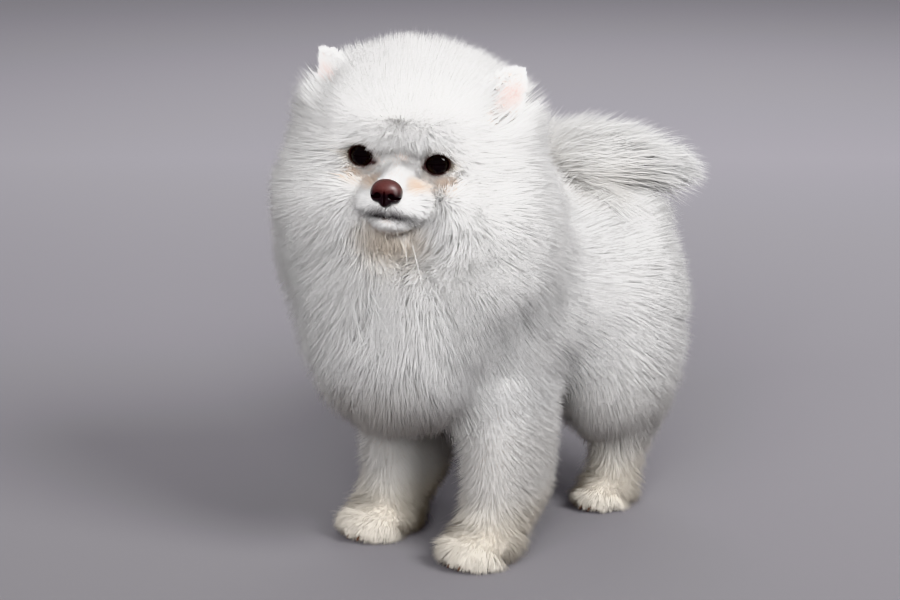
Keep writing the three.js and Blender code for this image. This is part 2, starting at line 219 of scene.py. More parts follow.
# ---------------------------------------------------------------- the lie of the coat
# each part: depth of the coat, lift of the hair at its root and at its tip, length of a lock's wave, how far tips gather
PARTS = {
    #            depth lift0 lift1 wave gather
    "skull":    (25, 2.2, 1.7, 0.7, 0.10),
    "ruff":     (34, 1.7, 0.9, 1.3, 0.18),
    "bib":      (30, 1.3, 0.6, 1.6, 0.24),
    "chest":    (30, 1.6, 0.9, 1.1, 0.16),
    "barrel":   (30, 2.0, 1.4, 0.8, 0.12),
    "rump":     (32, 2.0, 1.4, 0.8, 0.12),
    "thigh":    (26, 1.7, 1.1, 0.8, 0.13),
    "tail":     (15, 1.0, 0.45, 0.9, 0.08),
    "foreleg":  (12, 1.6, 1.1, 0.6, 0.15),
    "hindleg":  (12, 1.6, 1.1, 0.6, 0.15),
    "forepaw":  (5, 0.9, 0.6, 0.3, 0.1),
    "hindpaw":  (5, 0.9, 0.6, 0.3, 0.1),
    "muzzle":   (3.5, 0.28, 0.14, 0.2, 0.2),
    "ear":      (3, 0.9, 0.6, 0.2, 0.1),
}
NAMES = list(PARTS)


def unit(v):
    return v / np.maximum(np.linalg.norm(v, axis=-1, keepdims=True), F(1e-6))


def weights_of(d):
    w = {n: np.exp(-np.clip(d[n], -30, 60) / F(7.0)) for n in NAMES}
    total = sum(w.values())
    return {n: w[n] / total for n in NAMES}


def brow_at(h):
    """The share of the brow, over the eyes, where the hair is shorter and stands closest."""
    return (smooth(h[..., 1], 24, 40) * smooth(h[..., 2], 0, 9) * (1 - smooth(h[..., 2], 26, 48))
            * (1 - smooth(np.abs(h[..., 0]), 30, 48)))


def lie_of(p, w):
    """The direction in which the hair runs, before it is laid on the surface."""
    h = to_head(p)
    one = np.ones(p.shape[:-1], F)
    away = unit(np.stack([h[..., 0], -16 + 0 * h[..., 0], h[..., 2] + 13], -1)) @ HEAD_AXES
    crown = unit((h - np.array((0, 30, 0), F)) @ HEAD_AXES)
    # over the muzzle and the cheeks the hair runs back from the nose, and down over the lips
    muzzle = unit((h - NOSE_C) * np.array((1.2, 1.0, 1.0), F) + np.array((0, -10, -4), F)) @ HEAD_AXES
    x = p[..., 0] / F(60)

    def along(a, b, c):
        return np.stack([a * one, b * one, c * one], -1)

    scalp = unit(away * 0.75 + crown * 0.35 + along(0, 0.25, 0))
    nape = smooth(-h[..., 1], 8, 44)[..., None] * (1 - smooth(h[..., 2], 30, 60))[..., None]
    lies = {
        "skull": unit(scalp * (1 - nape) + along(0, 0.4, -0.9) * nape),
        "ruff": unit(along(0, 0.25, -0.75) + away * 0.45 + np.stack([x * 0.35, 0 * x, 0 * x], -1)),
        "bib": unit(along(0, 0.05, -1) + np.stack([x * 0.15, 0 * x, 0 * x], -1)),
        "chest": unit(along(0, 0.55, -0.8)),
        "barrel": unit(along(0, 0.9, -0.42)),
        "rump": unit(along(0, 0.75, -0.6)),
        "thigh": unit(along(0, 0.35, -0.9)),
        "tail": unit(unit(np.stack([p[..., 0] + 14, p[..., 1] - 40, (p[..., 2] - 200) * 0.9], -1)) + along(0.2, 0.15, 0)
                     - np.stack([0 * x, 0 * x, 0.8 * smooth(p[..., 1], 78, 126)], -1)),
        "foreleg": unit(along(0, 0.5, -0.85)),
        "hindleg": unit(along(0, 0.25, -0.95)),
        "forepaw": unit(along(0, -0.55, -0.75)),
        "hindpaw": unit(along(0, -0.55, -0.75)),
        "muzzle": muzzle,
        "ear": unit(crown + along(0, 0, 0.4)),
    }
    return unit(sum(w[n][..., None] * lies[n] for n in NAMES))


# ---------------------------------------------------------------- a grid of the coat, read by all that follows
LO, HI, STEP = np.array((-122, -180, -8), F), np.array((122, 190, 348), F), F(3.0)
_axes = [np.arange(LO[i], HI[i] + STEP, STEP, dtype=F) for i in range(3)]
_grid = np.stack(np.meshgrid(*_axes, indexing="ij"), -1)
_d = parts_of_coat(_grid)
_w = weights_of(_d)
_coat = coat_field(_grid, _d)
_props = np.stack([sum(_w[n] * F(PARTS[n][i]) for n in NAMES) for i in range(5)], -1)
_head = to_head(_grid)
# the coat thins towards the eyes and the muzzle
_face = (1 - smooth(np.hypot(_head[..., 0] * 0.9, _head[..., 2] + 8), 22, 46)) * smooth(_head[..., 1], 18, 34)
_props[..., 0] = _props[..., 0] * (1 - _face) + 9 * _face
_props[..., 0] *= 1 - 0.25 * brow_at(_head)
_normal = unit(np.stack(np.gradient(_coat, STEP), -1).astype(F))
_lie = lie_of(_grid, _w)
GRID = np.concatenate([_coat[..., None], _normal, _lie, _props, _face[..., None]], -1).astype(F)
C_FIELD, C_N, C_LIE, C_DEPTH, C_LIFT0, C_LIFT1, C_WAVE, C_GATHER, C_FACE = 0, slice(1, 4), slice(4, 7), 7, 8, 9, 10, 11, 12
SHAPE = np.array(GRID.shape[:3])
FLAT = GRID.reshape(-1, GRID.shape[-1])
del _grid, _d, _w, _coat, _props, _head, _face, _normal, _lie
log("grid %s" % (GRID.shape,))


def read(p, cols=slice(None)):
    """The grid's values at p, in between its points."""
    g = (p - LO) / STEP
    g = np.clip(g, 0, (SHAPE - 1.001).astype(F))
    i = g.astype(np.int64)
    f = (g - i).astype(F)
    base = (i[:, 0] * SHAPE[1] + i[:, 1]) * SHAPE[2] + i[:, 2]
    table = FLAT[:, cols]
    out = 0
    for dx in (0, 1):
        wx = f[:, 0] if dx else 1 - f[:, 0]
        for dy in (0, 1):
            wy = f[:, 1] if dy else 1 - f[:, 1]
            for dz in (0, 1):
                wz = f[:, 2] if dz else 1 - f[:, 2]
                k = base + (dx * SHAPE[1] + dy) * SHAPE[2] + dz
                w = wx * wy * wz
                v = table[k]
                out = out + (v * w[:, None] if v.ndim == 2 else v * w)
    return out


# ---------------------------------------------------------------- the skin
def gaze(side):
    a = math.radians(9)
    g = np.array((side * math.sin(a), math.cos(a), 0.02), F)
    return g / np.linalg.norm(g)


def eye_local(h, side):
    """Head's frame to the eye's own: x out to the side, y along the gaze, z up."""
    g = gaze(1)
    x = np.array((g[1], -g[0], 0), F)
    x /= np.linalg.norm(x)
    z = np.cross(x, g)
    q = (h * np.array((side, 1, 1), F)) - EYE_C
    return q @ np.stack([x, g, z], -1).astype(F)


def lid_opening(e):
    """The gap between the lids, an oval whose outer corner is a little higher."""
    x = e[..., 0]
    z = e[..., 2] - 0.06 * x
    r = np.sqrt((x / 6.5) ** 2 + (z / np.where(z > 0, 5.5, 5.0)) ** 2)
    return (r - 1) * 5.2


def face_skin(h):
    m = mirrored(h)
    d = ell(h, ((0, -6, 8), (37, 42, 36)))
    d = join(d, ell(h, ((0, 22, 8), (26, 17, 19))), 8)
    d = join(d, ell(h, ((0, 21, -8), (27, 20, 20))), 8)
    d = join(d, ell(m, ((20, 16, -18), (17, 22, 17))), 8)
    # brow ridges over the eyes
    d = join(d, ell(m, ((17, 35, 8.5), (8, 7, 4.5))), 5)
    # the muzzle, its bridge, lips and chin
    d = join(d, ell(h, ((0, 38, -20), (17.5, 21, 12))), 7)
    d = join(d, ell(h, ((0, 55, -19.5), (11.5, 15, 9))), 5)
    d = join(d, capsule(h, (0, 30, -7), (0, 64, -12.5), 8, 6.6), 5)
    d = join(d, ell(m, ((7, 57, -22.5), (8.2, 11, 7))), 3.5)
    d = join(d, ell(h, ((0, 49, -30.8), (10.2, 17.5, 5.6))), 3)
    # the mouth's line, the groove under the nose
    mouth = ell(h, ((0, 56, -27.6), (15.5, 16, 0.9)))
    mouth = np.maximum(mouth, 48 - h[..., 1])
    d = carve(d, mouth, 1.2)
    d = carve(d, ell(h, ((0, 70, -22), (0.7, 4, 5))), 1.0)
    # a seat for the nose leather
    d = carve(d, ell(h, (tuple(NOSE_C), (8.4, 6.2, 7.0))), 0.8)
    # lids: a thin cover over the ball with an oval gap
    for side in (1, -1):
        e = eye_local(h, side)
        ball = np.linalg.norm(e, axis=-1)
        gap = lid_opening(e)
        # the lid's rim is a soft roll around the gap
        roll = np.hypot(gap - 0.9, ball - EYE_R - 0.35) - 0.95
        cover = np.maximum(ball - (EYE_R + 0.85), -e[..., 1] - 2)
        d = join(d, cover, 3.2)
        d = np.where(e[..., 1] > 0, join(d, roll, 0.8), d)
        d = np.maximum(d, -np.maximum(gap, -(e[..., 1] - 3.5)))
    return d


def ear_skin(h, side):
    e = ear_local(h, side)
    x, y, z = e[..., 0], e[..., 1], e[..., 2]
    # a low round leaf, cupped forward
    outline = (np.hypot(x / 16.5, np.where(z > 0, z / 17.5, z / 22.0)) - 1) * 15
    outline = np.maximum(outline, -z - 22)
    cup = 0.022 * x * x - 2.0 - 0.010 * (z - 4) ** 2
    return carve(outline, -(np.abs(y - cup) - 1.15), 1.6)


def limb_skin(p):
    m = mirrored(p)
    fx, fy, hx, hy = FORE_X, FORE_Y, HIND_X, HIND_Y
    d = capsule(m, (fx - 2, fy + 6, 118), (fx, fy + 3, 62), 17, 11)
    d = join(d, capsule(m, (fx, fy + 3, 62), (fx, fy + 3, 22), 11, 9.5), 6)
    # the hind leg: thigh, hock, and the upright cannon below it
    h = capsule(m, (hx - 4, hy - 2, 116), (hx, hy + 2, 78), 26, 15)
    h = join(h, capsule(m, (hx, hy + 2, 78), (hx, hy + 15, 52), 15, 9.5), 6)
    h = join(h, capsule(m, (hx, hy + 15, 52), (hx, hy + 6, 18), 9.5, 8.5), 6)
    return np.minimum(d, h)


TOES = {
    "fore": [(-10.5, -12, 8.0), (-3.8, -19.5, 8.4), (4.2, -19.5, 8.4), (11.0, -12, 8.0)],
    "hind": [(-8.3, -10, 7.2), (-3.0, -17.5, 7.6), (3.4, -17.5, 7.6), (8.8, -10, 7.2)],
}


def paw_skin(p):
    m = mirrored(p)
    d = None
    for name, cx, cy in (("fore", FORE_X, FORE_Y - 7), ("hind", HIND_X, HIND_Y - 3)):
        w = 1.0 if name == "fore" else 0.84
        a = ell(m, ((cx, cy + 3, 9), (15.5 * w, 17 * w, 10.5)))
        a = join(a, ell(m, ((cx, cy + 8, 14), (11.5 * w, 12 * w, 11))), 5)
        for tx, ty, r in TOES[name]:
            a = join(a, ell(m, ((cx + tx, cy + ty + 3, r * 0.72), (r * 0.78, r * 1.12, r * 0.86))), 2.2)
        # pads under the toes and the heel
        d = a if d is None else np.minimum(d, a)
    return d


def tail_skin(p):
    """The tail itself, from the rump up over the back and into the plume."""
    d = capsule(p, (0, 84, 176), (3, 82, 212), 17, 10)
    d = join(d, capsule(p, (3, 82, 212), (12, 96, 222), 10, 7.5), 6)
    return join(d, capsule(p, (12, 96, 222), (28, 116, 218), 7.5, 4.5), 5)


def skin_field(p):
    h = to_head(p)
    g = read(p.reshape(-1, 3), [C_FIELD, C_DEPTH, C_FACE]).reshape(p.shape[:-1] + (3,))
    d = g[..., 0] + g[..., 1] + 10 * g[..., 2]
    d = join(join(d, limb_skin(p), 10), tail_skin(p), 8)
    d = join(d, paw_skin(p), 4)
    near = (np.abs(h) < np.array((60, 90, 70), F)).all(-1)
    if near.any():
        hn = h[near]
        f = face_skin(hn)
        f = join(f, ear_skin(hn, 1), 3)
        f = join(f, ear_skin(hn, -1), 3)
        dn = d[near]
        k = 6 * (1 - smooth(hn[..., 1], 26, 40)) + 0.3
        hh = np.maximum(k - np.abs(dn - f), 0) / k
        d[near] = np.minimum(dn, f) - hh * hh * k / 4
    return np.maximum(d, F(0.25) - p[..., 2])


def slope(field, p, e=0.35):
    g = np.empty(p.shape, F)
    for i in range(3):
        s = np.zeros(3, F)
        s[i] = e
        g[:, i] = (field(p + s) - field(p - s)) / (2 * e)
    return g


def settle(field, p, times=3, most=1.2):
    """Moves points onto the field's zero."""
    for _ in range(times):
        g = slope(field, p)
        n2 = np.maximum((g * g).sum(1), 0.05)
        step = -(field(p) / n2)[:, None] * g
        size = np.linalg.norm(step, axis=1, keepdims=True)
        p = p + step * np.minimum(1, most / np.maximum(size, 1e-6))
    return p.astype(F)


def nets(field, lo, hi, h, block=24):
    """One closed surface of quads where the field is zero, by surface nets over the blocks that the surface crosses."""
    n = np.ceil((np.array(hi) - np.array(lo)) / h).astype(int) + 1
    n = ((n + block - 1) // block) * block + 1
    vals = np.full(n, 1e3, F)
    # first a coarse look, to skip blocks that the surface can't reach
    cs = 6
    cx = [np.arange(0, n[i], cs) for i in range(3)]
    coarse_p = np.stack(np.meshgrid(*[lo[i] + c * h for i, c in enumerate(cx)], indexing="ij"), -1).astype(F)
    cv = field(coarse_p.reshape(-1, 3)).reshape(coarse_p.shape[:3])
    near = np.abs(cv) < cs * h * 1.8
    fine = np.zeros(n, bool)
    idx = np.argwhere(near)
    for a, b, c in idx:
        x, y, z = a * cs, b * cs, c * cs
        fine[max(x - cs, 0):x + cs + 1, max(y - cs, 0):y + cs + 1, max(z - cs, 0):z + cs + 1] = True
    # far values keep the coarse sign
    sign = np.repeat(np.repeat(np.repeat(cv, cs, 0), cs, 1), cs, 2)[:n[0], :n[1], :n[2]]
    vals[:sign.shape[0], :sign.shape[1], :sign.shape[2]] = sign
    where = np.argwhere(fine)
    pts = (np.array(lo, F) + where * F(h)).astype(F)
    out = np.empty(len(pts), F)
    for s in range(0, len(pts), 400000):
        out[s:s + 400000] = field(pts[s:s + 400000])
    vals[fine] = out
    inside = vals < 0
    cube = sum(inside[i:n[0] - 1 + i, j:n[1] - 1 + j, k:n[2] - 1 + k].astype(np.int8) for i, j, k in np.ndindex(2, 2, 2))
    cells = np.argwhere((cube > 0) & (cube < 8))
    number = np.full(n, -1, np.int64)
    number[tuple(cells.T)] = np.arange(len(cells))
    acc, cnt = np.zeros((len(cells), 3), F), np.zeros(len(cells), F)
    corners = [np.array(c) for c in np.ndindex(2, 2, 2)]
    for a in range(8):
        for b in range(a + 1, 8):
            if np.abs(corners[a] - corners[b]).sum() != 1:
                continue
            va = vals[tuple((cells + corners[a]).T)]
            vb = vals[tuple((cells + corners[b]).T)]
            cross = (va < 0) != (vb < 0)
            t = np.where(cross, va / np.where(va == vb, 1, va - vb), 0)[:, None]
            acc += np.where(cross[:, None], corners[a] * (1 - t) + corners[b] * t, 0)
            cnt += cross
    verts = np.array(lo, F) + (cells + acc / cnt[:, None]) * F(h)
    quads = []
    for axis in range(3):
        o1, o2 = [(1, 2), (2, 0), (0, 1)][axis]
        e = np.zeros(3, int)
        e[axis] = 1
        sl = [slice(1, n[i] - 1) for i in range(3)]
        sl[axis] = slice(0, n[axis] - 1)
        a = inside[tuple(sl)]
        sl2 = list(sl)
        sl2[axis] = slice(1, n[axis])
        b = inside[tuple(sl2)]
        start = np.array([1, 1, 1])
        start[axis] = 0
        for flip, mask in ((False, a & ~b), (True, ~a & b)):
            g = np.argwhere(mask) + start
            u, v = np.zeros(3, int), np.zeros(3, int)
            u[o1], v[o2] = 1, 1
            q = np.stack([number[tuple((g - u - v).T)], number[tuple((g - v).T)], number[tuple(g.T)], number[tuple((g - u).T)]], 1)
            quads.append(q[:, ::-1] if flip else q)
    quads = np.concatenate(quads)
    quads = quads[(quads >= 0).all(1)]
    return verts.astype(F), quads


def triangles(v, q):
    """Each quad cut along its shorter diagonal."""
    d1 = ((v[q[:, 0]] - v[q[:, 2]]) ** 2).sum(1)
    d2 = ((v[q[:, 1]] - v[q[:, 3]]) ** 2).sum(1)
    a = np.where((d1 <= d2)[:, None], q[:, [0, 1, 2]], q[:, [0, 1, 3]])
    b = np.where((d1 <= d2)[:, None], q[:, [0, 2, 3]], q[:, [1, 2, 3]])
    return np.concatenate([a, b])


def largest(v, t):
    """The biggest connected piece, so that no crumb is left."""
    label = np.arange(len(v))
    for _ in range(200):
        low = np.minimum.reduce([label[t[:, 0]], label[t[:, 1]], label[t[:, 2]]])
        new = label.copy()
        for i in range(3):
            np.minimum.at(new, t[:, i], low)
        new = new[new]
        if (new == label).all():
            break
        label = new
    names, counts = np.unique(label[t[:, 0]], return_counts=True)
    keep = label[t[:, 0]] == names[counts.argmax()]
    t = t[keep]
    used = np.unique(t)
    back = np.full(len(v), -1)
    back[used] = np.arange(len(used))
    return v[used], back[t]


def finer(v, t, mask):
    """Cuts the masked triangles in four and their neighbours to match, so that the surface stays closed."""
    edges = np.sort(np.concatenate([t[:, [0, 1]], t[:, [1, 2]], t[:, [2, 0]]]), 1)
    keys = edges[:, 0].astype(np.int64) * len(v) + edges[:, 1]
    names, inv = np.unique(keys, return_inverse=True)
    inv = inv.reshape(3, -1).T            # per triangle: edges 01, 12, 20
    cut = np.zeros(len(names), bool)
    cut[inv[mask].ravel()] = True
    while True:                            # a triangle with two cut edges has all three cut
        n = cut[inv].sum(1)
        two = n == 2
        if not two.any():
            break
        cut[inv[two].ravel()] = True
    ends = np.stack([names // len(v), names % len(v)], 1)
    mid = np.full(len(names), -1)
    mid[cut] = len(v) + np.arange(cut.sum())
    nv = np.concatenate([v, (v[ends[cut, 0]] + v[ends[cut, 1]]) / 2])
    n = cut[inv].sum(1)
    out = [t[n == 0]]
    full = n == 3
    a, b, c = t[full].T
    ab, bc, ca = mid[inv[full]].T
    out += [np.stack(x, 1) for x in ((a, ab, ca), (ab, b, bc), (ca, bc, c), (ab, bc, ca))]
    one = n == 1
    tt, ii = t[one], inv[one]
    k = cut[ii].argmax(1)
    r = np.arange(len(tt))
    a, b, c = tt[r, k], tt[r, (k + 1) % 3], tt[r, (k + 2) % 3]
    m = mid[ii[r, k]]
    out += [np.stack((a, m, c), 1), np.stack((m, b, c), 1)]
    return nv.astype(F), np.concatenate(out)


SKIN_H = 1.9
sv, sq = nets(skin_field, (-84, -160, -3), (84, 152, 306), SKIN_H)
st = triangles(sv, sq)
sv, st = largest(sv, st)
sv = settle(skin_field, sv, 2)
log("skin nets %d verts %d tris" % (len(sv), len(st)))


def around(v, t, centre, radius):
    c = to_head(v[t].mean(1))
    return np.linalg.norm((c - np.array(centre, F)) / np.array(radius, F), axis=1) < 1


for level, spots in enumerate((
    [((0, 46, -14), (36, 34, 34)), ((21, 44, 0), (14, 14, 14)), ((-21, 44, 0), (14, 14, 14))],
    [((21, 45, 0), (11.5, 12, 11)), ((-21, 45, 0), (11.5, 12, 11)), ((0, 62, -26), (14, 14, 7))],
)):
    mask = np.zeros(len(st), bool)
    for c, r in spots:
        mask |= around(sv, st, c, r)
    sv, st = finer(sv, st, mask)
    sv = settle(skin_field, sv, 2, most=0.8)
log("skin refined %d verts %d tris" % (len(sv), len(st)))

# ---------------------------------------------------------------- the skin's unwrap
# Each part of the body is laid out flat from six sides, and the sheets are set side by side in the unit square.
SIDES = np.array([(1, 0, 0), (-1, 0, 0), (0, 1, 0), (0, -1, 0), (0, 0, 1), (0, 0, -1)], F)


def lump_of(p):
    """Which lump of the body a point of the skin belongs to."""
    h = to_head(p)
    lump = np.ones(len(p), np.int64)
    lump[(p[:, 2] < 92) & (p[:, 1] < 8) & (p[:, 0] > 0)] = 3
    lump[(p[:, 2] < 92) & (p[:, 1] < 8) & (p[:, 0] <= 0)] = 4
    lump[(p[:, 2] < 92) & (p[:, 1] >= 8) & (p[:, 0] > 0)] = 5
    lump[(p[:, 2] < 92) & (p[:, 1] >= 8) & (p[:, 0] <= 0)] = 6
    lump[(p[:, 2] + 0.26 * (p[:, 1] - 40) > 206) & (p[:, 1] > 10)] = 2
    lump[(p - np.array((4, -78, 200), F)) @ np.array((0.2, -0.45, 0.87), F) > 0] = 0
    return lump


def flat_place(p, side):
    """The two coordinates across each of the six sides."""
    axis = side // 2
    u = np.where(axis == 0, p[:, 1], p[:, 0])
    v = np.where(axis == 2, p[:, 1], p[:, 2])
    return np.stack([u, v], 1)


def chart_of(centre, normal):
    side = (normal @ SIDES.T).argmax(1)
    return lump_of(centre) * 6 + side


tri_n = np.cross(sv[st[:, 1]] - sv[st[:, 0]], sv[st[:, 2]] - sv[st[:, 0]])
tri_area = np.linalg.norm(tri_n, axis=1) / 2
tri_n = unit(tri_n)
# the sides are read from the coat's smooth normals, so that a sheet has no specks
tri_c = sv[st].mean(1)
tri_chart = chart_of(tri_c, unit(read(tri_c, C_N) + 0.8 * tri_n))
charts = []
for k in np.unique(tri_chart):
    pts = flat_place(sv[st[tri_chart == k]].reshape(-1, 3), np.full((tri_chart == k).sum() * 3, k % 6))
    charts.append((k, pts.min(0), pts.max(0)))
PAD = 3.0
charts.sort(key=lambda c: -(c[2] - c[1])[1])


def pack(width):
    x = y = tall = 0.0
    place = {}
    for k, lo_, hi_ in charts:
        w_, h_ = hi_ - lo_ + 2 * PAD
        if x + w_ > width:
            x, y, tall = 0.0, y + tall, 0.0
        place[k] = (x + PAD - lo_[0], y + PAD - lo_[1])
        x, tall = x + w_, max(tall, h_)
    return place, y + tall


width = 200.0
while pack(width)[1] > width:
    width *= 1.03
PLACE, UV_SCALE = pack(width)[0], 1 / width


def uv_of(p, chart):
    off = np.array([PLACE.get(k, (0, 0)) for k in range(42)], F)
    return ((flat_place(p, chart % 6) + off[chart]) * F(UV_SCALE)).clip(0.001, 0.999)


log("unwrap: %d sheets, %.5f per mm" % (len(charts), UV_SCALE))


# ---------------------------------------------------------------- colours, shared by the skin and the coat
def lin(r, g, b):
    c = np.array((r, g, b), float) / 255
    return np.where(c <= 0.04045, c / 12.92, ((c + 0.055) / 1.055) ** 2.4).astype(F)


WHITE = lin(250, 249, 248)
CREAM = lin(238, 230, 217)
PEACH = lin(246, 214, 184)
ASH = lin(150, 138, 140)
DARK = lin(34, 26, 26)
SKIN_PALE = lin(232, 218, 210)
SKIN_PINK = lin(240, 208, 201)


def spot(h, c, r, soft=1.0):
    """1 at the middle of a soft oval, 0 outside it."""
    d = np.linalg.norm((h - np.array(c, F)) / np.array(r, F), axis=-1)
    return 1 - smooth(d, 0.25 * soft, 1.0)


def tint(p, hair, face=True):
    """The colour at a place on the animal, with painted shade low on the legs, under the bib, chin and tail, under the
    fringe and in the eyes' outer corners. The same marks lie on the skin and on the hair.
    """
    h = to_head(p)
    m = mirrored(h)
    n = len(p)
    base = WHITE if hair else SKIN_PALE
    c = np.repeat(base[None], n, 0)

    def lay(colour, a):
        nonlocal c
        a = np.clip(a, 0, 1)[:, None]
        c = c * (1 - a) + colour * a

    # painted shade in warm grey and cream: low on the legs, under the bib, on the paws, under the chin and under the
    # tail
    lay(lin(222, 216, 209), (1 - smooth(p[:, 2], 40, 112)) * 0.42)
    lay(lin(214, 207, 199), spot(p, (0, -118, 88), (74, 66, 46)) * 0.5)
    # painted shade on the paws, in cream
    paws = 1 - smooth(p[:, 2], 18, 46)
    lay(CREAM, paws * 0.85)
    lay(lin(240, 228, 214), spot(h, (0, 46, -52), (34, 34, 22)) * 0.55)
    lay(lin(244, 234, 218), spot(p, (10, 60, 214), (60, 60, 34)) * 0.45)
    if not face:
        return np.clip(c, 0.004, 0.97).astype(F)
    # tear stains beside the muzzle and out on the cheeks
    lay(PEACH, spot(m, (14, 52, -11), (10, 13, 8)) * 0.75)
    lay(PEACH, spot(m, (29, 44, -11), (12, 14, 8)) * 0.7)
    # painted shade in fawn: in the eyes' outer corners, under the fringe and under the chin
    lay(lin(206, 190, 166), spot(m, (31, 42, 1), (11, 12, 7)) * 0.6)
    lay(lin(226, 216, 203), spot(m, (22, 48, 8), (16, 11, 5)) * 0.3)
    lay(lin(216, 198, 178), spot(h, (0, 54, -47), (30, 22, 15)) * 0.6)
    # grey skin between the eyes
    lay(lin(150, 138, 132), spot(m, (6, 47, 3), (12, 10, 5.5)) * (0.3 if hair else 0.5))
    # dark lips and the groove under the nose
    lips = spot(m, (4, 66, -25.5), (12, 10, 7.5))
    lay(lin(88, 78, 82) if hair else DARK, lips * (0.42 if hair else 1.3))
    mouth = spot(m, (6, 58, -27.6), (15, 20, 3.8))
    lay(lin(48, 40, 42) if hair else DARK, mouth * (0.95 if hair else 1.5))
    # dark rims and inner corners
    for side in (1, -1):
        e = eye_local(h, side)
        gap = lid_opening(e)
        front = smooth(e[:, 1], 1.0, 4.0)
        rim = (1 - smooth(gap, 0.5, 1.9 if hair else 3.0)) * front
        corner = spot(e, (-7.6, 7, -2.6), (3.4, 5, 3.2)) + 0.8 * spot(e, (-6.2, 7, 4.4), (3.0, 5, 3.0)) + 0.45 * spot(e, (-2, 8, -6.6), (6.0, 5, 1.8))
        lay(DARK, rim * (0.9 if hair else 1.0))
        lay(lin(70, 58, 58), corner * (0.9 if hair else 1.0))
        # the ear's inside
        q = ear_local(h, side)
        inner = spot(q, (0, 0.5, 1), (10, 7, 15), 1.2) * smooth(q[:, 1] - 0.022 * q[:, 0] ** 2 + 2.0, -0.5, 0.8)
        lay(SKIN_PINK if not hair else lin(248, 226, 220), inner * (1.0 if not hair else 0.55))
    if not hair:
        soles = 1 - smooth(p[:, 2], 1.5, 4.0)
        lay(lin(70, 56, 54), soles)
    return np.clip(c, 0.004, 0.97).astype(F)


# ---------------------------------------------------------------- mesh helpers
def new_mesh(name, verts, tris, uv=None, colour=None, normals=None, smooth_shade=True):
    me = bpy.data.meshes.new(name)
    n, t = len(verts), len(tris)
    me.vertices.add(n)
    me.vertices.foreach_set("co", metres(verts).ravel())
    me.loops.add(t * 3)
    me.loops.foreach_set("vertex_index", np.ascontiguousarray(tris, np.int32).ravel())
    me.polygons.add(t)
    me.polygons.foreach_set("loop_start", np.arange(0, t * 3, 3, dtype=np.int32))
    me.polygons.foreach_set("loop_total", np.full(t, 3, np.int32))
    me.polygons.foreach_set("use_smooth", np.full(t, smooth_shade, bool))
    me.update(calc_edges=True)
    if uv is not None:
        layer = me.uv_layers.new(name="OFBake")
        layer.data.foreach_set("uv", np.ascontiguousarray(uv, F).ravel())
    if colour is not None:
        a = me.color_attributes.new("Tint", "FLOAT_COLOR", "POINT")
        a.data.foreach_set("color", np.concatenate([colour, np.ones((len(colour), 1), F)], 1).ravel())
    if normals is not None:
        me.normals_split_custom_set_from_vertices(normals.astype(F))
    ob = bpy.data.objects.new(name, me)
    bpy.context.scene.collection.objects.link(ob)
    return ob


def node_material(name):
    mat = bpy.data.materials.new(name)
    mat.use_nodes = True
    nt = mat.node_tree
    nt.nodes.clear()
    return mat, nt


def link(nt, a, b):
    nt.links.new(a, b)


def coat_material(name, translucent=0.5, rough=0.85, fleck=0.05, scale=900):
    """White hair: a rough surface that also lets light through, with a faint fleck from hair to hair."""
    mat, nt = node_material(name)
    out = nt.nodes.new("ShaderNodeOutputMaterial")
    mix = nt.nodes.new("ShaderNodeMixShader")
    mix.inputs[0].default_value = translucent
    p = nt.nodes.new("ShaderNodeBsdfPrincipled")
    p.inputs["Roughness"].default_value = rough
    p.inputs["Specular IOR Level"].default_value = 0.25
    t = nt.nodes.new("ShaderNodeBsdfTranslucent")
    att = nt.nodes.new("ShaderNodeVertexColor")
    att.layer_name = "Tint"
    co = nt.nodes.new("ShaderNodeTexCoord")
    noise = nt.nodes.new("ShaderNodeTexNoise")
    noise.inputs["Scale"].default_value = scale
    noise.inputs["Detail"].default_value = 2.0
    ramp = nt.nodes.new("ShaderNodeMapRange")
    ramp.inputs["To Min"].default_value = 1 - fleck
    ramp.inputs["To Max"].default_value = 1.0
    mul = nt.nodes.new("ShaderNodeMix")
    mul.data_type = "RGBA"
    mul.blend_type = "MULTIPLY"
    mul.inputs["Factor"].default_value = 1.0
    link(nt, co.outputs["Object"], noise.inputs["Vector"])
    link(nt, noise.outputs["Fac"], ramp.inputs["Value"])
    link(nt, att.outputs["Color"], mul.inputs["A"])
    link(nt, ramp.outputs["Result"], mul.inputs["B"])
    link(nt, mul.outputs["Result"], p.inputs["Base Color"])
    link(nt, mul.outputs["Result"], t.inputs["Color"])
    link(nt, p.outputs[0], mix.inputs[1])
    link(nt, t.outputs[0], mix.inputs[2])
    link(nt, mix.outputs[0], out.inputs["Surface"])
    return mat


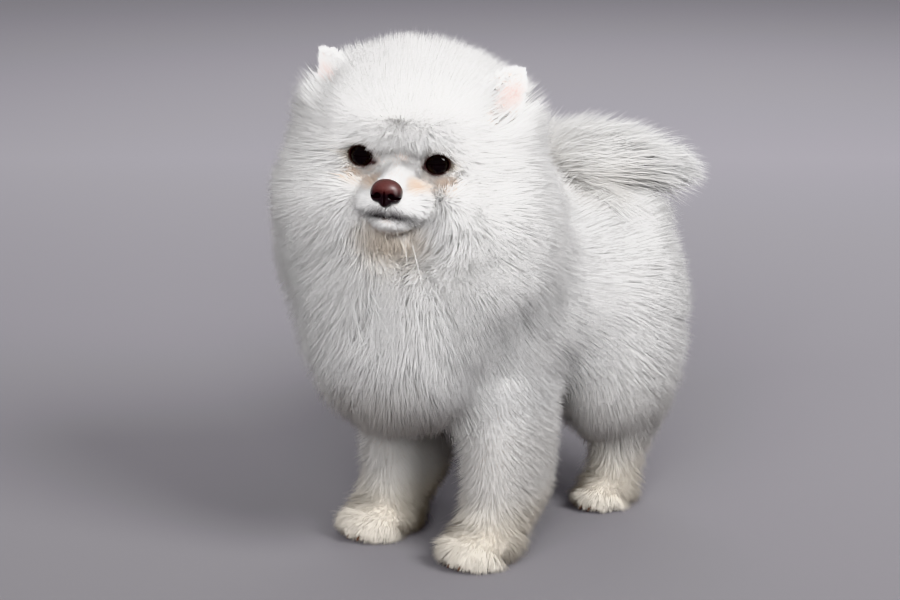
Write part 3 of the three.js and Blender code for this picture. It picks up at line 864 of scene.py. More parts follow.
def skin_material(name):
    mat, nt = node_material(name)
    out = nt.nodes.new("ShaderNodeOutputMaterial")
    p = nt.nodes.new("ShaderNodeBsdfPrincipled")
    p.inputs["Roughness"].default_value = 0.6
    p.inputs["Specular IOR Level"].default_value = 0.3
    att = nt.nodes.new("ShaderNodeVertexColor")
    att.layer_name = "Tint"
    co = nt.nodes.new("ShaderNodeTexCoord")
    fine = nt.nodes.new("ShaderNodeTexVoronoi")
    fine.inputs["Scale"].default_value = 1400
    big = nt.nodes.new("ShaderNodeTexNoise")
    big.inputs["Scale"].default_value = 220
    big.inputs["Detail"].default_value = 4
    ramp = nt.nodes.new("ShaderNodeMapRange")
    ramp.inputs["To Min"].default_value = 0.86
    ramp.inputs["To Max"].default_value = 1.08
    mul = nt.nodes.new("ShaderNodeMix")
    mul.data_type = "RGBA"
    mul.blend_type = "MULTIPLY"
    mul.inputs["Factor"].default_value = 1.0
    bump = nt.nodes.new("ShaderNodeBump")
    bump.inputs["Strength"].default_value = 0.35
    bump.inputs["Distance"].default_value = 0.0003
    link(nt, co.outputs["Object"], fine.inputs["Vector"])
    link(nt, co.outputs["Object"], big.inputs["Vector"])
    link(nt, big.outputs["Fac"], ramp.inputs["Value"])
    link(nt, att.outputs["Color"], mul.inputs["A"])
    link(nt, ramp.outputs["Result"], mul.inputs["B"])
    link(nt, mul.outputs["Result"], p.inputs["Base Color"])
    link(nt, fine.outputs["Distance"], bump.inputs["Height"])
    link(nt, bump.outputs["Normal"], p.inputs["Normal"])
    link(nt, p.outputs[0], out.inputs["Surface"])
    return mat


FLESH = ["head", "muzzle", "neck", "trunk", "tail", "ear_left", "ear_right",
         "foreleg_left", "foreleg_right", "hindleg_left", "hindleg_right",
         "forepaw_left", "forepaw_right", "hindpaw_left", "hindpaw_right"]

# ---------------------------------------------------------------- the skin as a piece
skin_uv = uv_of(sv[st].reshape(-1, 3), np.repeat(tri_chart, 3))
skin = new_mesh("skin", sv, st, skin_uv, tint(sv, False))
skin.data.materials.append(skin_material("skin"))
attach(skin, "root")
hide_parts(*FLESH)
log("skin made")


# ---------------------------------------------------------------- eyes
def ball(name, side):
    """An eye: the white of the ball, and the clear front standing a little out of it, over a brown iris and its pupil."""
    rows, cols = 56, 64
    th = np.linspace(0, math.pi, rows)
    ph = np.linspace(0, 2 * math.pi, cols, endpoint=False)
    pts = [(0, 1, 0)]
    for a in th[1:-1]:
        for b in ph:
            pts.append((math.sin(a) * math.cos(b), math.cos(a), math.sin(a) * math.sin(b)))
    pts.append((0, -1, 0))
    pts = np.array(pts, F)
    r = EYE_R * np.ones(len(pts), F)
    ang = np.arccos(np.clip(pts[:, 1], -1, 1))
    bulge = 1 - smooth(np.degrees(ang), 30, 47)
    r += 0.75 * bulge * np.cos(ang)
    pts = pts * r[:, None]
    t = []
    for j in range(cols):
        t.append((0, 1 + (j + 1) % cols, 1 + j))
    for i in range(rows - 3):
        for j in range(cols):
            a, b = 1 + i * cols + j, 1 + i * cols + (j + 1) % cols
            c, d = a + cols, b + cols
            t += [(a, b, d), (a, d, c)]
    last = len(pts) - 1
    base = 1 + (rows - 3) * cols
    for j in range(cols):
        t.append((last, base + j, base + (j + 1) % cols))
    t = np.array(t)
    rad = np.degrees(ang)
    # pupil, iris, dark ring, and the white, which hides under the lids
    c = np.repeat(lin(9, 7, 7)[None], len(pts), 0)
    iris = smooth(rad, 23, 27) * (1 - smooth(rad, 34, 41))
    streak = 0.5 + 0.5 * np.sin(np.arctan2(pts[:, 2], pts[:, 0]) * 23)
    c = c * (1 - iris[:, None]) + (lin(12, 9, 8) * (0.75 + 0.5 * streak[:, None])) * iris[:, None]
    white = smooth(rad, 46, 54)[:, None]
    c = c * (1 - white) + lin(150, 128, 118) * white
    g = gaze(1)
    x = np.array((g[1], -g[0], 0), F)
    x /= np.linalg.norm(x)
    z = np.cross(x, g)
    q = (pts @ np.stack([x, g, z]).astype(F) + EYE_C) * np.array((side, 1, 1), F)
    if side < 0:
        t = t[:, ::-1]
    world = from_head(q)
    n = np.cross(world[t[:, 1]] - world[t[:, 0]], world[t[:, 2]] - world[t[:, 0]])
    if (n * (world[t].mean(1) - from_head(EYE_C * np.array((side, 1, 1), F)))).sum() < 0:
        t = t[:, ::-1]
    uv = np.stack([0.5 + pts[:, 0] / 24, 0.5 + pts[:, 2] / 24], 1)
    uv[pts[:, 1] < 0, 0] = uv[pts[:, 1] < 0, 0] * 0.5
    ob = new_mesh(name, world, t, uv[t].reshape(-1, 2), c.astype(F))
    return ob


def eye_material():
    mat, nt = node_material("eye")
    out = nt.nodes.new("ShaderNodeOutputMaterial")
    p = nt.nodes.new("ShaderNodeBsdfPrincipled")
    p.inputs["Roughness"].default_value = 0.5
    p.inputs["Specular IOR Level"].default_value = 0.0
    p.inputs["Coat Weight"].default_value = 1.0
    p.inputs["Coat Roughness"].default_value = 0.02
    p.inputs["Coat IOR"].default_value = 1.38
    att = nt.nodes.new("ShaderNodeVertexColor")
    att.layer_name = "Tint"
    co = nt.nodes.new("ShaderNodeTexCoord")
    noise = nt.nodes.new("ShaderNodeTexNoise")
    noise.inputs["Scale"].default_value = 1500
    ramp = nt.nodes.new("ShaderNodeMapRange")
    ramp.inputs["To Min"].default_value = 0.7
    ramp.inputs["To Max"].default_value = 1.3
    mul = nt.nodes.new("ShaderNodeMix")
    mul.data_type = "RGBA"
    mul.blend_type = "MULTIPLY"
    mul.inputs["Factor"].default_value = 1.0
    link(nt, co.outputs["Object"], noise.inputs["Vector"])
    link(nt, noise.outputs["Fac"], ramp.inputs["Value"])
    link(nt, att.outputs["Color"], mul.inputs["A"])
    link(nt, ramp.outputs["Result"], mul.inputs["B"])
    link(nt, mul.outputs["Result"], p.inputs["Base Color"])
    link(nt, p.outputs[0], out.inputs["Surface"])
    return mat


EYE_MAT = eye_material()
for side, name in ((1, "left"), (-1, "right")):
    ob = ball("eyeball_" + name, side)
    ob.data.materials.append(EYE_MAT)
    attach(ob, "root")
    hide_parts("eye_" + name)


# ---------------------------------------------------------------- nose
def nose_field(p):
    q = p - NOSE_C                       # head's frame
    m = mirrored(q)
    d = ell(q, ((0, -1, 0.6), (8.6, 6.6, 6.8)))
    d = join(d, ell(q, ((0, 1.5, 2.2), (7.2, 5.2, 4.6))), 2.5)          # the top's shelf
    d = join(d, ell(m, ((5.0, 0.8, -1.0), (3.9, 5.0, 4.6))), 1.6)        # wings
    d = join(d, ell(q, ((0, 1.2, -4.6), (3.6, 4.6, 3.6))), 1.6)          # the narrow foot
    d = carve(d, ell(m, ((3.9, 5.8, -0.9), (1.75, 3.6, 1.55))), 0.9)     # nostrils
    d = carve(d, ell(m, ((6.6, 4.2, -2.0), (2.6, 3.4, 0.75))), 0.8)      # the slit at the side
    d = carve(d, ell(q, ((0, 6.4, -3.2), (0.45, 2.6, 5.0))), 0.7)        # the groove down the middle
    return d


nv, nq = nets(nose_field, NOSE_C - np.array((11, 10, 10), F), NOSE_C + np.array((11, 10, 10), F), 0.42)
nt_ = triangles(nv, nq)
nv, nt_ = largest(nv, nt_)
nv = settle(nose_field, nv, 2, most=0.3)
nm = mirrored(nv - NOSE_C)
ncol = np.repeat(lin(76, 45, 43)[None], len(nv), 0)
low = 1 - smooth((nv - NOSE_C)[:, 2], -1.0, 4.2)
ncol = ncol * (1 - low[:, None]) + lin(22, 14, 15) * low[:, None]
# painted shade, near black, in the nostrils
nostril_shade = spot(nm, (3.9, 4.6, -0.9), (3.0, 5.0, 2.6))
ncol = ncol * (1 - nostril_shade[:, None]) + lin(14, 9, 9) * nostril_shade[:, None]
edge = smooth(-(nv - NOSE_C)[:, 1], -1.0, 3.5)
ncol = ncol * (1 - edge[:, None] * 0.6) + lin(40, 26, 25) * edge[:, None] * 0.6
nuv = np.stack([0.5 + (nv - NOSE_C)[:, 0] / 22, 0.5 + (nv - NOSE_C)[:, 2] / 22], 1)
nose = new_mesh("nose_leather", from_head(nv), nt_, nuv[nt_].reshape(-1, 2), ncol.astype(F))


def nose_material():
    mat, nt = node_material("nose")
    out = nt.nodes.new("ShaderNodeOutputMaterial")
    p = nt.nodes.new("ShaderNodeBsdfPrincipled")
    p.inputs["Roughness"].default_value = 0.38
    p.inputs["Coat Weight"].default_value = 0.25
    p.inputs["Coat Roughness"].default_value = 0.25
    att = nt.nodes.new("ShaderNodeVertexColor")
    att.layer_name = "Tint"
    co = nt.nodes.new("ShaderNodeTexCoord")
    cells = nt.nodes.new("ShaderNodeTexVoronoi")
    cells.feature = "DISTANCE_TO_EDGE"
    cells.inputs["Scale"].default_value = 1500
    bump = nt.nodes.new("ShaderNodeBump")
    bump.inputs["Strength"].default_value = 0.5
    bump.inputs["Distance"].default_value = 0.0002
    ramp = nt.nodes.new("ShaderNodeMapRange")
    ramp.inputs["From Max"].default_value = 0.25
    ramp.inputs["To Min"].default_value = 0.6
    ramp.inputs["To Max"].default_value = 1.0
    mul = nt.nodes.new("ShaderNodeMix")
    mul.data_type = "RGBA"
    mul.blend_type = "MULTIPLY"
    mul.inputs["Factor"].default_value = 1.0
    link(nt, co.outputs["Object"], cells.inputs["Vector"])
    link(nt, cells.outputs["Distance"], ramp.inputs["Value"])
    link(nt, ramp.outputs["Result"], bump.inputs["Height"])
    link(nt, att.outputs["Color"], mul.inputs["A"])
    link(nt, ramp.outputs["Result"], mul.inputs["B"])
    link(nt, mul.outputs["Result"], p.inputs["Base Color"])
    link(nt, bump.outputs["Normal"], p.inputs["Normal"])
    link(nt, p.outputs[0], out.inputs["Surface"])
    return mat


nose.data.materials.append(nose_material())
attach(nose, "root")
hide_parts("nose")
log("eyes and nose")


# ---------------------------------------------------------------- roots
def sample(count, density, seed):
    """Roots on the skin, by area and density. Gives the triangle, the place and the skin's normal."""
    rng = np.random.default_rng(seed)
    w = tri_area * density
    cdf = np.cumsum(w)
    pick = (np.arange(count) + rng.random(count)) / count * cdf[-1]
    k = np.searchsorted(cdf, pick).clip(0, len(st) - 1)
    a, b = rng.random(count).astype(F), rng.random(count).astype(F)
    over = a + b > 1
    a[over], b[over] = 1 - a[over], 1 - b[over]
    v = sv[st[k]]
    p = v[:, 0] + a[:, None] * (v[:, 1] - v[:, 0]) + b[:, None] * (v[:, 2] - v[:, 0])
    return k, p.astype(F), tri_n[k]


def wobble(p, size, seed):
    """A smooth random vector field, the sum of a few waves."""
    rng = np.random.default_rng(seed)
    out = np.zeros(p.shape, F)
    for _ in range(7):
        k = rng.normal(size=(3, 3)) * (2 * math.pi / size) * 0.45
        ph = rng.random(3) * 2 * math.pi
        out += np.sin(p @ k.T.astype(F) + ph.astype(F)).astype(F)
    return out / 2.6


def grow_long(p, n, seed, over, step=2.4, steps=26, loose=1.0):
    """Hair paths from the roots to the coat's surface. over is how far past the surface each tip goes, in mm."""
    rng = np.random.default_rng(seed)
    q = p - n * 0.8
    path = [q.copy()]
    start = read(p, [C_FIELD, C_DEPTH, C_LIFT0, C_LIFT1])
    depth = np.maximum(-start[:, 0], 2)
    swing = (wobble(p, 34, 5) * 0.16 + wobble(p, 12, 6) * 0.13 + rng.normal(size=p.shape).astype(F) * 0.10) * F(loose)
    alive = np.ones(len(p), bool)
    ends = np.zeros(len(p), np.int64)
    for s in range(1, steps + 1):
        g = read(q, slice(0, 7))
        f = g[:, 0]
        N = unit(g[:, 1:4])
        T = g[:, 4:7]
        T = unit(T - (T * N).sum(1, keepdims=True) * N)
        frac = np.clip(1 + f / depth, 0, 1)
        lift = start[:, 2] * (1 - frac) + start[:, 3] * frac
        d = unit(T + N * lift[:, None] + swing * (0.4 + 1.2 * frac[:, None]))
        left = over - f
        go = alive & (left > 0.4)
        rise = np.maximum((d * N).sum(1), 0.22)
        move = np.minimum(step, left / rise)
        q = np.where(go[:, None], q + d * move[:, None], q)
        ends[go] = s
        alive = go
        path.append(q.copy())
        if not alive.any():
            break
    return np.stack(path, 1), ends


def at(path, ends, t):
    """The point at share t of each path's length."""
    x = ends * t
    i = np.minimum(x.astype(int), path.shape[1] - 2)
    f = (x - i)[:, None].astype(F)
    r = np.arange(len(path))
    return path[r, i] * (1 - f) + path[r, i + 1] * f


def gather(p, points, share, cells, seed):
    """Draws each hair towards the one in the middle of its lock: the roots stay, the tips come together."""
    rng = np.random.default_rng(seed)
    heads = rng.choice(len(p), max(len(p) // cells, 1), replace=False)
    tree = KDTree(len(heads))
    for i, h in enumerate(heads):
        tree.insert(p[h].tolist(), i)
    tree.balance()
    near = np.fromiter((tree.find(v)[1] for v in p.tolist()), np.int64, len(p))
    lead = heads[near]
    off = p - p[lead]
    out = []
    for pts, s in zip(points, share):
        target = pts[lead] + off * 0.35
        a = (s * rng.uniform(0.7, 1.15, len(p)))[:, None].astype(F)
        out.append(pts * (1 - a) + target * a)
    return out, near


def tufts(rings, widths, up, flat=0.5, seed=0):
    """Closed tapering locks with three sides. rings are the points along each, the last its tip; widths are the half widths at each but the tip."""
    n, k = len(rings[0]), len(rings) - 1
    rng = np.random.default_rng(seed)
    pts = np.stack(rings, 1)                       # n, k+1, 3
    tang = np.empty_like(pts)
    tang[:, 0] = pts[:, 1] - pts[:, 0]
    tang[:, -1] = pts[:, -1] - pts[:, -2]
    for i in range(1, k):
        tang[:, i] = pts[:, i + 1] - pts[:, i - 1]
    tang = unit(tang)
    turn = rng.uniform(0, 2 * math.pi, n).astype(F)
    verts = np.empty((n, 3 * k + 1, 3), F)
    norms = np.empty_like(verts)
    for i in range(k):
        a = unit(np.cross(tang[:, i], up))
        b = np.cross(a, tang[:, i])
        for j in range(3):
            th = 2 * math.pi * j / 3 + math.pi / 2
            r = a * math.cos(th) + b * math.sin(th) * flat
            verts[:, 3 * i + j] = pts[:, i] + r * widths[i][:, None]
            norms[:, 3 * i + j] = unit(r)
    verts[:, -1] = pts[:, -1]
    norms[:, -1] = tang[:, -1] * 0.3
    t = [(2, 1, 0)]
    for i in range(k - 1):
        a, b = 3 * i, 3 * i + 3
        for j in range(3):
            m = (j + 1) % 3
            t += [(a + j, a + m, b + m), (a + j, b + m, b + j)]
    a = 3 * (k - 1)
    t += [(a + j, a + (j + 1) % 3, 3 * k) for j in range(3)]
    t = np.array(t)[:, ::-1]
    # share of the way from root to tip, for the UV patch
    along_ = np.repeat(np.linspace(0, 1, k + 1)[:k], 3)
    along_ = np.append(along_, 1.0)
    across = np.append(np.tile((0.0, 0.5, 1.0), k), 0.5)
    return verts, norms, t, np.stack([across, along_], 1)


def coat_piece(name, verts, norms, t, patch, root_uv, up, colour, mat, soft=0.9):
    """Joins the tufts in one mesh. Their shading follows the coat's own surface by the share soft."""
    n, m = verts.shape[:2]
    tris = (t[None] + (np.arange(n) * m)[:, None, None]).reshape(-1, 3)
    uvp = root_uv[:, None] + (patch[None] - 0.5) * 0.003
    uv = uvp[:, t.ravel()].reshape(-1, 2).clip(0.0005, 0.9995)
    nn = norms * (1 - soft) + up[:, None] * soft
    nn = unit(nn.reshape(-1, 3))
    v = verts.reshape(-1, 3)
    v[:, 2] = np.maximum(v[:, 2], 0.35)
    ob = new_mesh(name, v, tris, uv, colour.reshape(-1, 3), nn)
    ob.data.materials.append(mat)
    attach(ob, "root")
    return ob


# which stretches wear short fur: face, ears and paws
head_c = to_head(tri_c)
depth_c = -read(tri_c, C_FIELD)
lump_c = lump_of(tri_c)
EAR_D = np.minimum(ear_skin(head_c, 1), ear_skin(head_c, -1))
is_ear = (EAR_D < 1.2) & (np.abs(head_c[:, 0]) > 34)
is_short = (depth_c < np.where(lump_c == 0, 8.0, 6.0)) | is_ear
in_gap = np.zeros(len(st), bool)
for side in (1, -1):
    e = eye_local(head_c, side)
    in_gap |= (lid_opening(e) < 0.7) & (e[:, 1] > 0) & (np.abs(e[:, 0]) < 12)
under = (tri_c[:, 2] < 2.5) | ((tri_c[:, 2] < 5) & (tri_n[:, 2] < -0.4))

MAT_COAT = coat_material("coat")
MAT_FACE = coat_material("face_coat", translucent=0.3, fleck=0.06, scale=1400)
SHARE = 1.0



def before_eye(points, wide=1.15):
    """Which hairs would hang in front of an eye."""
    out = np.zeros(len(points[0]), bool)
    for q in points:
        hq = to_head(q)
        for side in (1, -1):
            e = eye_local(hq, side)
            out |= (np.hypot(e[:, 0] / 7.6, (e[:, 2] + 0.4) / 6.6) < wide) & (e[:, 1] > 4.5) & (e[:, 1] < 34)
    return out


def before_ear(points):
    """Which hairs would hang in front of an ear's open face."""
    out = np.zeros(len(points[0]), bool)
    for q in points:
        hq = to_head(q)
        for side in (1, -1):
            e = ear_local(hq, side)
            out |= (np.hypot(e[:, 0] / 11.5, (e[:, 2] - 7) / 10.5) < 1) & (e[:, 1] > 0.5) & (e[:, 1] < 30) & (hq[:, 0] * side > 20)
    return out


# ---------------------------------------------------------------- the long coat
# roots stand closest where the hair spreads most, so that the tips cover the outline evenly
vert_n = np.zeros(sv.shape, F)
for i in range(3):
    np.add.at(vert_n, st[:, i], tri_n * tri_area[:, None])
vert_n = unit(vert_n)
path, ends = grow_long(sv, vert_n, 1, np.zeros(len(sv), F), loose=0)
vt = at(path, ends, 1.0)
tip_area = np.linalg.norm(np.cross(vt[st[:, 1]] - vt[st[:, 0]], vt[st[:, 2]] - vt[st[:, 0]]), axis=1) / 2
spread = np.clip(tip_area / np.maximum(tri_area, 1e-6), 0.35, 9)
density = np.where(is_short | in_gap | under, 0, spread).astype(F)
density *= np.where(lump_c == 0, 1.35, np.where(lump_c >= 3, 1.5, 1.0)) * (1 + 0.9 * brow_at(head_c))
LONG = int(272000 * SHARE)
k, root, nrm = sample(LONG, density, 11)
rng = np.random.default_rng(12)
u = rng.random(LONG).astype(F)
# the undercoat ends below the surface, most hairs end at it, a few stand past it
woolly, fly = u < 0.24, u > 0.95
over = np.where(woolly, -rng.uniform(3.5, 9, LONG), np.where(fly, rng.uniform(2, 6.5, LONG), rng.normal(0.6, 1.3, LONG)))
# the plume thins out towards its end
plume = lump_of(root) == 2
over = np.where(plume, np.where(woolly, rng.uniform(-12, -5, LONG), rng.uniform(-12, 7.5, LONG)), over).astype(F)
path, ends = grow_long(root, nrm, 13, over)
log("long paths %d, mean steps %.1f" % (LONG, ends.mean()))
rings = [at(path, ends, t) for t in (0.0, 0.55, 1.0)]
info = read(rings[1], [C_WAVE, C_GATHER])
wave = wobble(root, 9, 31) * (info[:, :1] * 0.55)
rings[1] = rings[1] + wave
rings[2] = rings[2] - wave * 0.8
(mid_, tip_), lock = gather(root, rings[1:], [info[:, 1] * 0.45, info[:, 1] * 1.15], 9, 14)
rings = [rings[0], mid_, tip_]
up = unit(read(tip_, C_N))
# under the brow's edge, round the ears and below the plume the hair is shaded as the open coat beside it
tip_h = to_head(tip_)
open_ = 0.75 * brow_at(tip_h)
for side in (1, -1):
    e = ear_local(tip_h, side)
    open_ = np.maximum(open_, 0.8 * (1 - smooth(np.linalg.norm(e / np.array((24, 26, 24), F), axis=1), 0.6, 1.0)))
open_ = open_.astype(F)[:, None]
up = unit(up * (1 - open_) + (HEAD_AXES[1] * 0.95 + HEAD_AXES[2] * 0.35) * open_)
plume = lump_of(root) == 2
up = unit(up + np.where(plume[:, None], np.array((0, 0, 1.1), F), 0))
length = np.linalg.norm(tip_ - rings[0], axis=1)
lump_r = lump_of(root)
w0 = np.where(fly, 0.2, np.where(woolly, rng.uniform(1.0, 1.6, LONG), rng.uniform(0.42, 0.72, LONG))).astype(F)
w0 *= np.where(lump_r == 0, 0.85, np.where(lump_r >= 3, 0.82, np.where(plume & ~woolly, 0.8, 1.0))).astype(F)
w0 *= np.clip(length / 24, 0.4, 1.0)
w1 = w0 * np.where(fly, 0.7, 0.62)
ruv = uv_of(root, tri_chart[k])
# locks that bend have a ring halfway; the fill between them runs straight
loose = read(root, C_GATHER)
bent = (rng.random(LONG) < np.clip((loose - 0.10) * 2.2, 0.05, 0.34)) & ~woolly
shade = (1 - 0.05 * rng.random(LONG) ** 2).astype(F)
clear = ~before_eye([at(path, ends, t) for t in (0.5, 0.7, 0.85, 1.0)] + [rings[1], rings[2], rings[1] * 0.5 + rings[2] * 0.5, rings[0] * 0.5 + rings[2] * 0.5])
# the right ear is half hidden in the coat, the left one is open
clear &= ~(before_ear([rings[2], rings[1], rings[1] * 0.5 + rings[2] * 0.5, rings[1] * 0.25 + rings[2] * 0.75])
           & (rng.random(LONG) < np.where(tip_h[:, 0] < 0, 0.6, 0.97)))
groups = {}
for kind, sel_kind in (("lock", bent), ("fill", ~bent)):
    if kind == "lock":
        pts_, ws, cost = rings, [w0, w1], 10
    else:
        pts_, ws, cost = [rings[0], rings[2]], [w0 * 1.15], 4
    for nm_, sel in (("head", lump_r == 0), ("body", lump_r == 1), ("tail", lump_r == 2), ("legs", lump_r >= 3)):
        idx = np.flatnonzero(sel & sel_kind & clear)
        if not len(idx):
            continue
        parts_n = max(1, math.ceil(len(idx) * cost / 190000))
        # split from left to right, so that each piece is one stretch of the coat
        idx = idx[np.argsort(root[idx, 0], kind="stable")]
        for j, sub in enumerate(np.array_split(idx, parts_n)):
            verts, norms, t, patch = tufts([r[sub] for r in pts_], [w[sub] for w in ws], up[sub], 0.55, 15)
            col = tint(verts.reshape(-1, 3), True, nm_ == "head").reshape(verts.shape)
            col *= shade[sub][:, None, None]
            coat_piece("coat_%s_%s_%d" % (nm_, kind, j + 1), verts, norms, t, patch, ruv[sub], up[sub], col, MAT_COAT)
            groups["%s_%s_%d" % (nm_, kind, j + 1)] = len(sub) * cost
log("long coat %s, %d triangles" % (groups, sum(groups.values())))

# ---------------------------------------------------------------- the short fur of the face, ears and paws
def ear_out(h, side):
    """The way from the ear's base out to its rim, in the stance's frame."""
    e = ear_local(h, side)
    d = unit(np.stack([e[:, 0] * 0.8, 0 * e[:, 0] - 0.5, e[:, 2] + 16], -1))
    c, s_ = math.cos(EAR_TURN), math.sin(EAR_TURN)
    x1, y = c * d[:, 0] + s_ * d[:, 1], -s_ * d[:, 0] + c * d[:, 1]
    c, s_ = math.cos(EAR_LEAN), math.sin(EAR_LEAN)
    x, z_ = c * x1 + s_ * d[:, 2], -s_ * x1 + c * d[:, 2]
    return (np.stack([x * side, y, z_], -1) @ HEAD_AXES).astype(F)


density = np.where(is_short & ~in_gap & ~under, 1.0, 0).astype(F)
density *= np.where(lump_c == 0, 2.6, 1.0)
density *= np.where(is_ear, 1.5, 1.0)
SHORT = int(74000 * SHARE)
k, root, nrm = sample(SHORT, density, 21)
rng = np.random.default_rng(22)
g = read(root, slice(0, 8))
field = coat_field(root)
h = to_head(root)
ear_r = (np.minimum(ear_skin(h, 1), ear_skin(h, -1)) < 1.2) & (np.abs(h[:, 0]) > 34)
on_face = lump_of(root) == 0
N = nrm
T = g[:, 4:7]
T = np.where(ear_r[:, None], np.where(h[:, :1] > 0, ear_out(h, 1), ear_out(h, -1)), T)
T = unit(T - (T * N).sum(1, keepdims=True) * N)
swing = wobble(root, 8, 23) * 0.26 + rng.normal(size=root.shape).astype(F) * 0.2
# on the brow it grows out to the edge of the long coat above it
length = np.clip(-field * 1.7, 3.4, 13 + 9 * brow_at(h)) * rng.uniform(0.75, 1.25, SHORT)
length = np.where(ear_r, rng.uniform(2.2, 4.2, SHORT), length).astype(F)
# close to the eyes and on the lips the fur is shortest
near_eye = np.zeros(SHORT, F)
for side in (1, -1):
    e = eye_local(h, side)
    near_eye += (1 - smooth(lid_opening(e), 0.8, 7.0)) * (e[:, 1] > -2)
length *= 1 - 0.55 * near_eye
lips = spot(mirrored(h), (4, 66, -25), (13, 11, 8))
bridge = spot(h, (0, 58, -8), (9, 20, 9))
length *= 1 - 0.3 * lips
length *= 1 - 0.25 * bridge
lift = np.where(ear_r, 0.35, np.where(on_face, 0.62 - 0.2 * bridge, 0.9)).astype(F)
d = unit(T + N * lift[:, None] + swing * np.where(ear_r, 0.6, 1.0)[:, None].astype(F))
base = root - N * 0.5
tip = root + d * length[:, None]
tip += T * (length * 0.12)[:, None]
w = np.clip(length * 0.06, 0.17, 0.42) * rng.uniform(0.75, 1.25, SHORT)
w = w.astype(F)
ruv = uv_of(root, tri_chart[k])
# the fur of the brow and the ears is shaded as the open coat round it
open_ = np.where(ear_r, 0.8, 0.75 * brow_at(h)).astype(F)[:, None]
soft_n = unit(N * (1 - open_) + (HEAD_AXES[1] * 0.85 + HEAD_AXES[2] * 0.5) * open_)
ash = spot(mirrored(h), (6, 47, 3), (13, 12, 6))
shade = (1 - (0.06 + 0.12 * ash + 0.6 * lips) * rng.random(SHORT) ** 1.5).astype(F)
clear = ~before_eye([tip, tip * 0.5 + base * 0.5], 0.9)
count_short = {}
for nm_, sel in (("face", on_face & ~ear_r), ("ears", ear_r), ("paws", ~on_face & ~ear_r)):
    idx = np.flatnonzero(sel & clear)
    if not len(idx):
        continue
    soft = {"face": 0.5, "ears": 0.55}.get(nm_, 0.7)
    for j, sub in enumerate(np.array_split(idx, max(1, math.ceil(len(idx) / 48000)))):
        verts, norms, t, patch = tufts([base[sub], tip[sub]], [w[sub]], N[sub], 0.7, 24)
        col = tint(verts.reshape(-1, 3), True).reshape(verts.shape) * shade[sub][:, None, None]
        ob = coat_piece("fur_%s_%d" % (nm_, j + 1), verts, norms, t, patch, ruv[sub], soft_n[sub], col, MAT_FACE, soft)
        count_short[ob.name] = len(sub) * 4
log("short fur %s" % count_short)


# ---------------------------------------------------------------- claws
def claws(name, side, which):
    cx, cy = (FORE_X, FORE_Y - 7) if which == "fore" else (HIND_X, HIND_Y - 3)
    vs, ts = [], []
    for tx, ty, r in TOES[which]:
        o = np.array(((cx + tx) * side, cy + ty + 3 - r * 0.95, r * 0.62), F)
        n_around, n_along = 8, 6
        pts = []
        for i in range(n_along):
            s = i / (n_along - 1)
            c = o + np.array((0, -4.6 * s, -2.4 * s * s - 0.6 * s), F)
            rad = 1.3 * (1 - s) ** 0.6 + 0.15
            for j in range(n_around):
                th = 2 * math.pi * j / n_around
                pts.append(c + np.array((rad * 0.75 * math.cos(th), 0, rad * math.sin(th)), F))
        start = sum(len(v) for v in vs)
        pts.append(o + np.array((0, 1.0, 0), F))
        pts.append(o + np.array((0, -5.0, -3.2), F))
        t = []
        for i in range(n_along - 1):
            for j in range(n_around):
                a, b = i * n_around + j, i * n_around + (j + 1) % n_around
                t += [(a, b, b + n_around), (a, b + n_around, a + n_around)]
        for j in range(n_around):
            t.append((len(pts) - 2, (j + 1) % n_around, j))
            t.append((len(pts) - 1, (n_along - 1) * n_around + j, (n_along - 1) * n_around + (j + 1) % n_around))
        vs.append(np.array(pts, F))
        ts.append(np.array(t) + start)
    v, t = np.concatenate(vs), np.concatenate(ts)
    v[:, 2] = np.maximum(v[:, 2], 0.4)
    c = np.repeat(lin(84, 62, 50)[None], len(v), 0)
    uv = np.stack([(v[:, 0] * side - cx + 20) / 40, (v[:, 1] - cy + 40) / 60], 1)
    ob = new_mesh(name, v, t, uv[t].reshape(-1, 2).clip(0, 1), c)
    ob.data.materials.append(CLAW_MAT)
    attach(ob, "root")


def horn_material():
    mat, nt = node_material("claw")
    out = nt.nodes.new("ShaderNodeOutputMaterial")
    p = nt.nodes.new("ShaderNodeBsdfPrincipled")
    p.inputs["Roughness"].default_value = 0.35
    att = nt.nodes.new("ShaderNodeVertexColor")
    att.layer_name = "Tint"
    co = nt.nodes.new("ShaderNodeTexCoord")
    wave = nt.nodes.new("ShaderNodeTexNoise")
    wave.inputs["Scale"].default_value = 600
    ramp = nt.nodes.new("ShaderNodeMapRange")
    ramp.inputs["To Min"].default_value = 0.7
    ramp.inputs["To Max"].default_value = 1.2
    mul = nt.nodes.new("ShaderNodeMix")
    mul.data_type = "RGBA"
    mul.blend_type = "MULTIPLY"
    mul.inputs["Factor"].default_value = 1.0
    link(nt, co.outputs["Object"], wave.inputs["Vector"])
    link(nt, wave.outputs["Fac"], ramp.inputs["Value"])
    link(nt, att.outputs["Color"], mul.inputs["A"])
    link(nt, ramp.outputs["Result"], mul.inputs["B"])
    link(nt, mul.outputs["Result"], p.inputs["Base Color"])
    link(nt, p.outputs[0], out.inputs["Surface"])
    return mat


CLAW_MAT = horn_material()
for side, nm_ in ((1, "left"), (-1, "right")):
    for which in ("fore", "hind"):
        claws("claws_%s_%s" % (which, nm_), side, which)

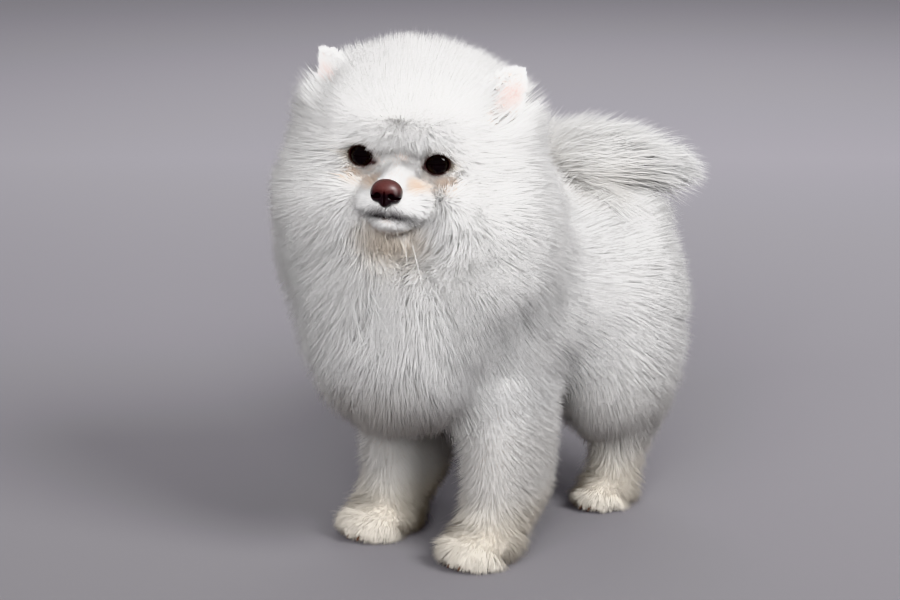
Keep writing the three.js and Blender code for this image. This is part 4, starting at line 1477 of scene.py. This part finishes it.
# ---------------------------------------------------------------- floor, light, camera
fm, nt = node_material("floor")
out = nt.nodes.new("ShaderNodeOutputMaterial")
p = nt.nodes.new("ShaderNodeBsdfPrincipled")
p.inputs["Roughness"].default_value = 0.9
p.inputs["Specular IOR Level"].default_value = 0.2
# the floor's colour grows lighter away from the camera: painted light for the brighter far backdrop
away_ = nt.nodes.new("ShaderNodeVectorMath")
away_.operation = "DOT_PRODUCT"
away_.inputs[1].default_value = (-0.629, 0.777, 0.0)
ramp = nt.nodes.new("ShaderNodeValToRGB")
ramp.color_ramp.elements[0].color = (*lin(108, 106, 109), 1)
ramp.color_ramp.elements[1].color = (*lin(168, 165, 171), 1)
reach = nt.nodes.new("ShaderNodeMapRange")
reach.inputs["From Min"].default_value = -0.2
reach.inputs["From Max"].default_value = 1.3
co = nt.nodes.new("ShaderNodeTexCoord")
link(nt, co.outputs["Object"], away_.inputs[0])
link(nt, away_.outputs["Value"], reach.inputs["Value"])
link(nt, reach.outputs["Result"], ramp.inputs["Fac"])
link(nt, ramp.outputs["Color"], p.inputs["Base Color"])
link(nt, p.outputs[0], out.inputs["Surface"])
me = bpy.data.meshes.new("floor")
me.from_pydata([(-8, -8, 0), (8, -8, 0), (8, 8, 0), (-8, 8, 0)], [], [(0, 1, 2, 3)])
floor = bpy.data.objects.new("floor", me)
bpy.context.scene.collection.objects.link(floor)
me.materials.append(fm)

world = bpy.data.worlds.new("studio")
world.use_nodes = True
bg = world.node_tree.nodes["Background"]
bg.inputs[0].default_value = (*lin(236, 235, 238), 1)
bg.inputs[1].default_value = 0.55
bpy.context.scene.world = world

AZ, EL, DIST, FOCAL = math.radians(39), math.radians(14), 1.3571, 2125.0
back = np.array((math.sin(AZ) * math.cos(EL), -math.cos(AZ) * math.cos(EL), math.sin(EL)))
right = np.array((math.cos(AZ), math.sin(AZ), 0.0))
target = np.array((-0.0393, 0.0, 0.1372)) + np.array(SHIFT, float) * 0.001


def area(name, size, power, where, aim, colour=(1, 1, 1)):
    li = bpy.data.lights.new(name, "AREA")
    li.shape = "DISK"
    li.size = size
    li.energy = power
    li.color = colour
    ob = bpy.data.objects.new(name, li)
    bpy.context.scene.collection.objects.link(ob)
    from mathutils import Vector
    d = Vector(np.array(where) - np.array(aim))
    ob.rotation_euler = d.to_track_quat("Z", "Y").to_euler()
    ob.location = where
    return ob


mid = np.array((0.0, 0.0, 0.16))
flat_back = np.array((math.sin(AZ), -math.cos(AZ), 0.0))


def lamp(name, azimuth, elevation, size, power, far=1.75):
    """A soft lamp, its azimuth counted from the camera's side towards the picture's right."""
    a, e = math.radians(azimuth), math.radians(elevation)
    d = right * math.sin(a) * math.cos(e) + flat_back * math.cos(a) * math.cos(e) + np.array((0, 0, math.sin(e)))
    return area(name, size, power, mid + d * far, mid)


lamp("key", 42, 38, 0.8, 39)
for fill in (lamp("front", -6, 20, 0.9, 31), lamp("left", -30, 28, 0.9, 12), lamp("back", 172, 42, 1.8, 24, 2.8)):
    fill.visible_glossy = False

cam = bpy.data.cameras.new("camera")
cam.sensor_width = 36.0
cam.lens = FOCAL / 900 * 36
cam.clip_start, cam.clip_end = 0.05, 50
co_ = bpy.data.objects.new("camera", cam)
bpy.context.scene.collection.objects.link(co_)
from mathutils import Matrix, Vector
z = Vector(back)
x = Vector(right)
y = z.cross(x)
m = Matrix((x, y, z)).transposed().to_4x4()
m.translation = Vector(target + back * DIST)
co_.matrix_world = m
bpy.context.scene.camera = co_
bpy.context.scene.view_settings.view_transform = "Khronos PBR Neutral"
bpy.context.scene.view_settings.look = "None"
log("scene done")
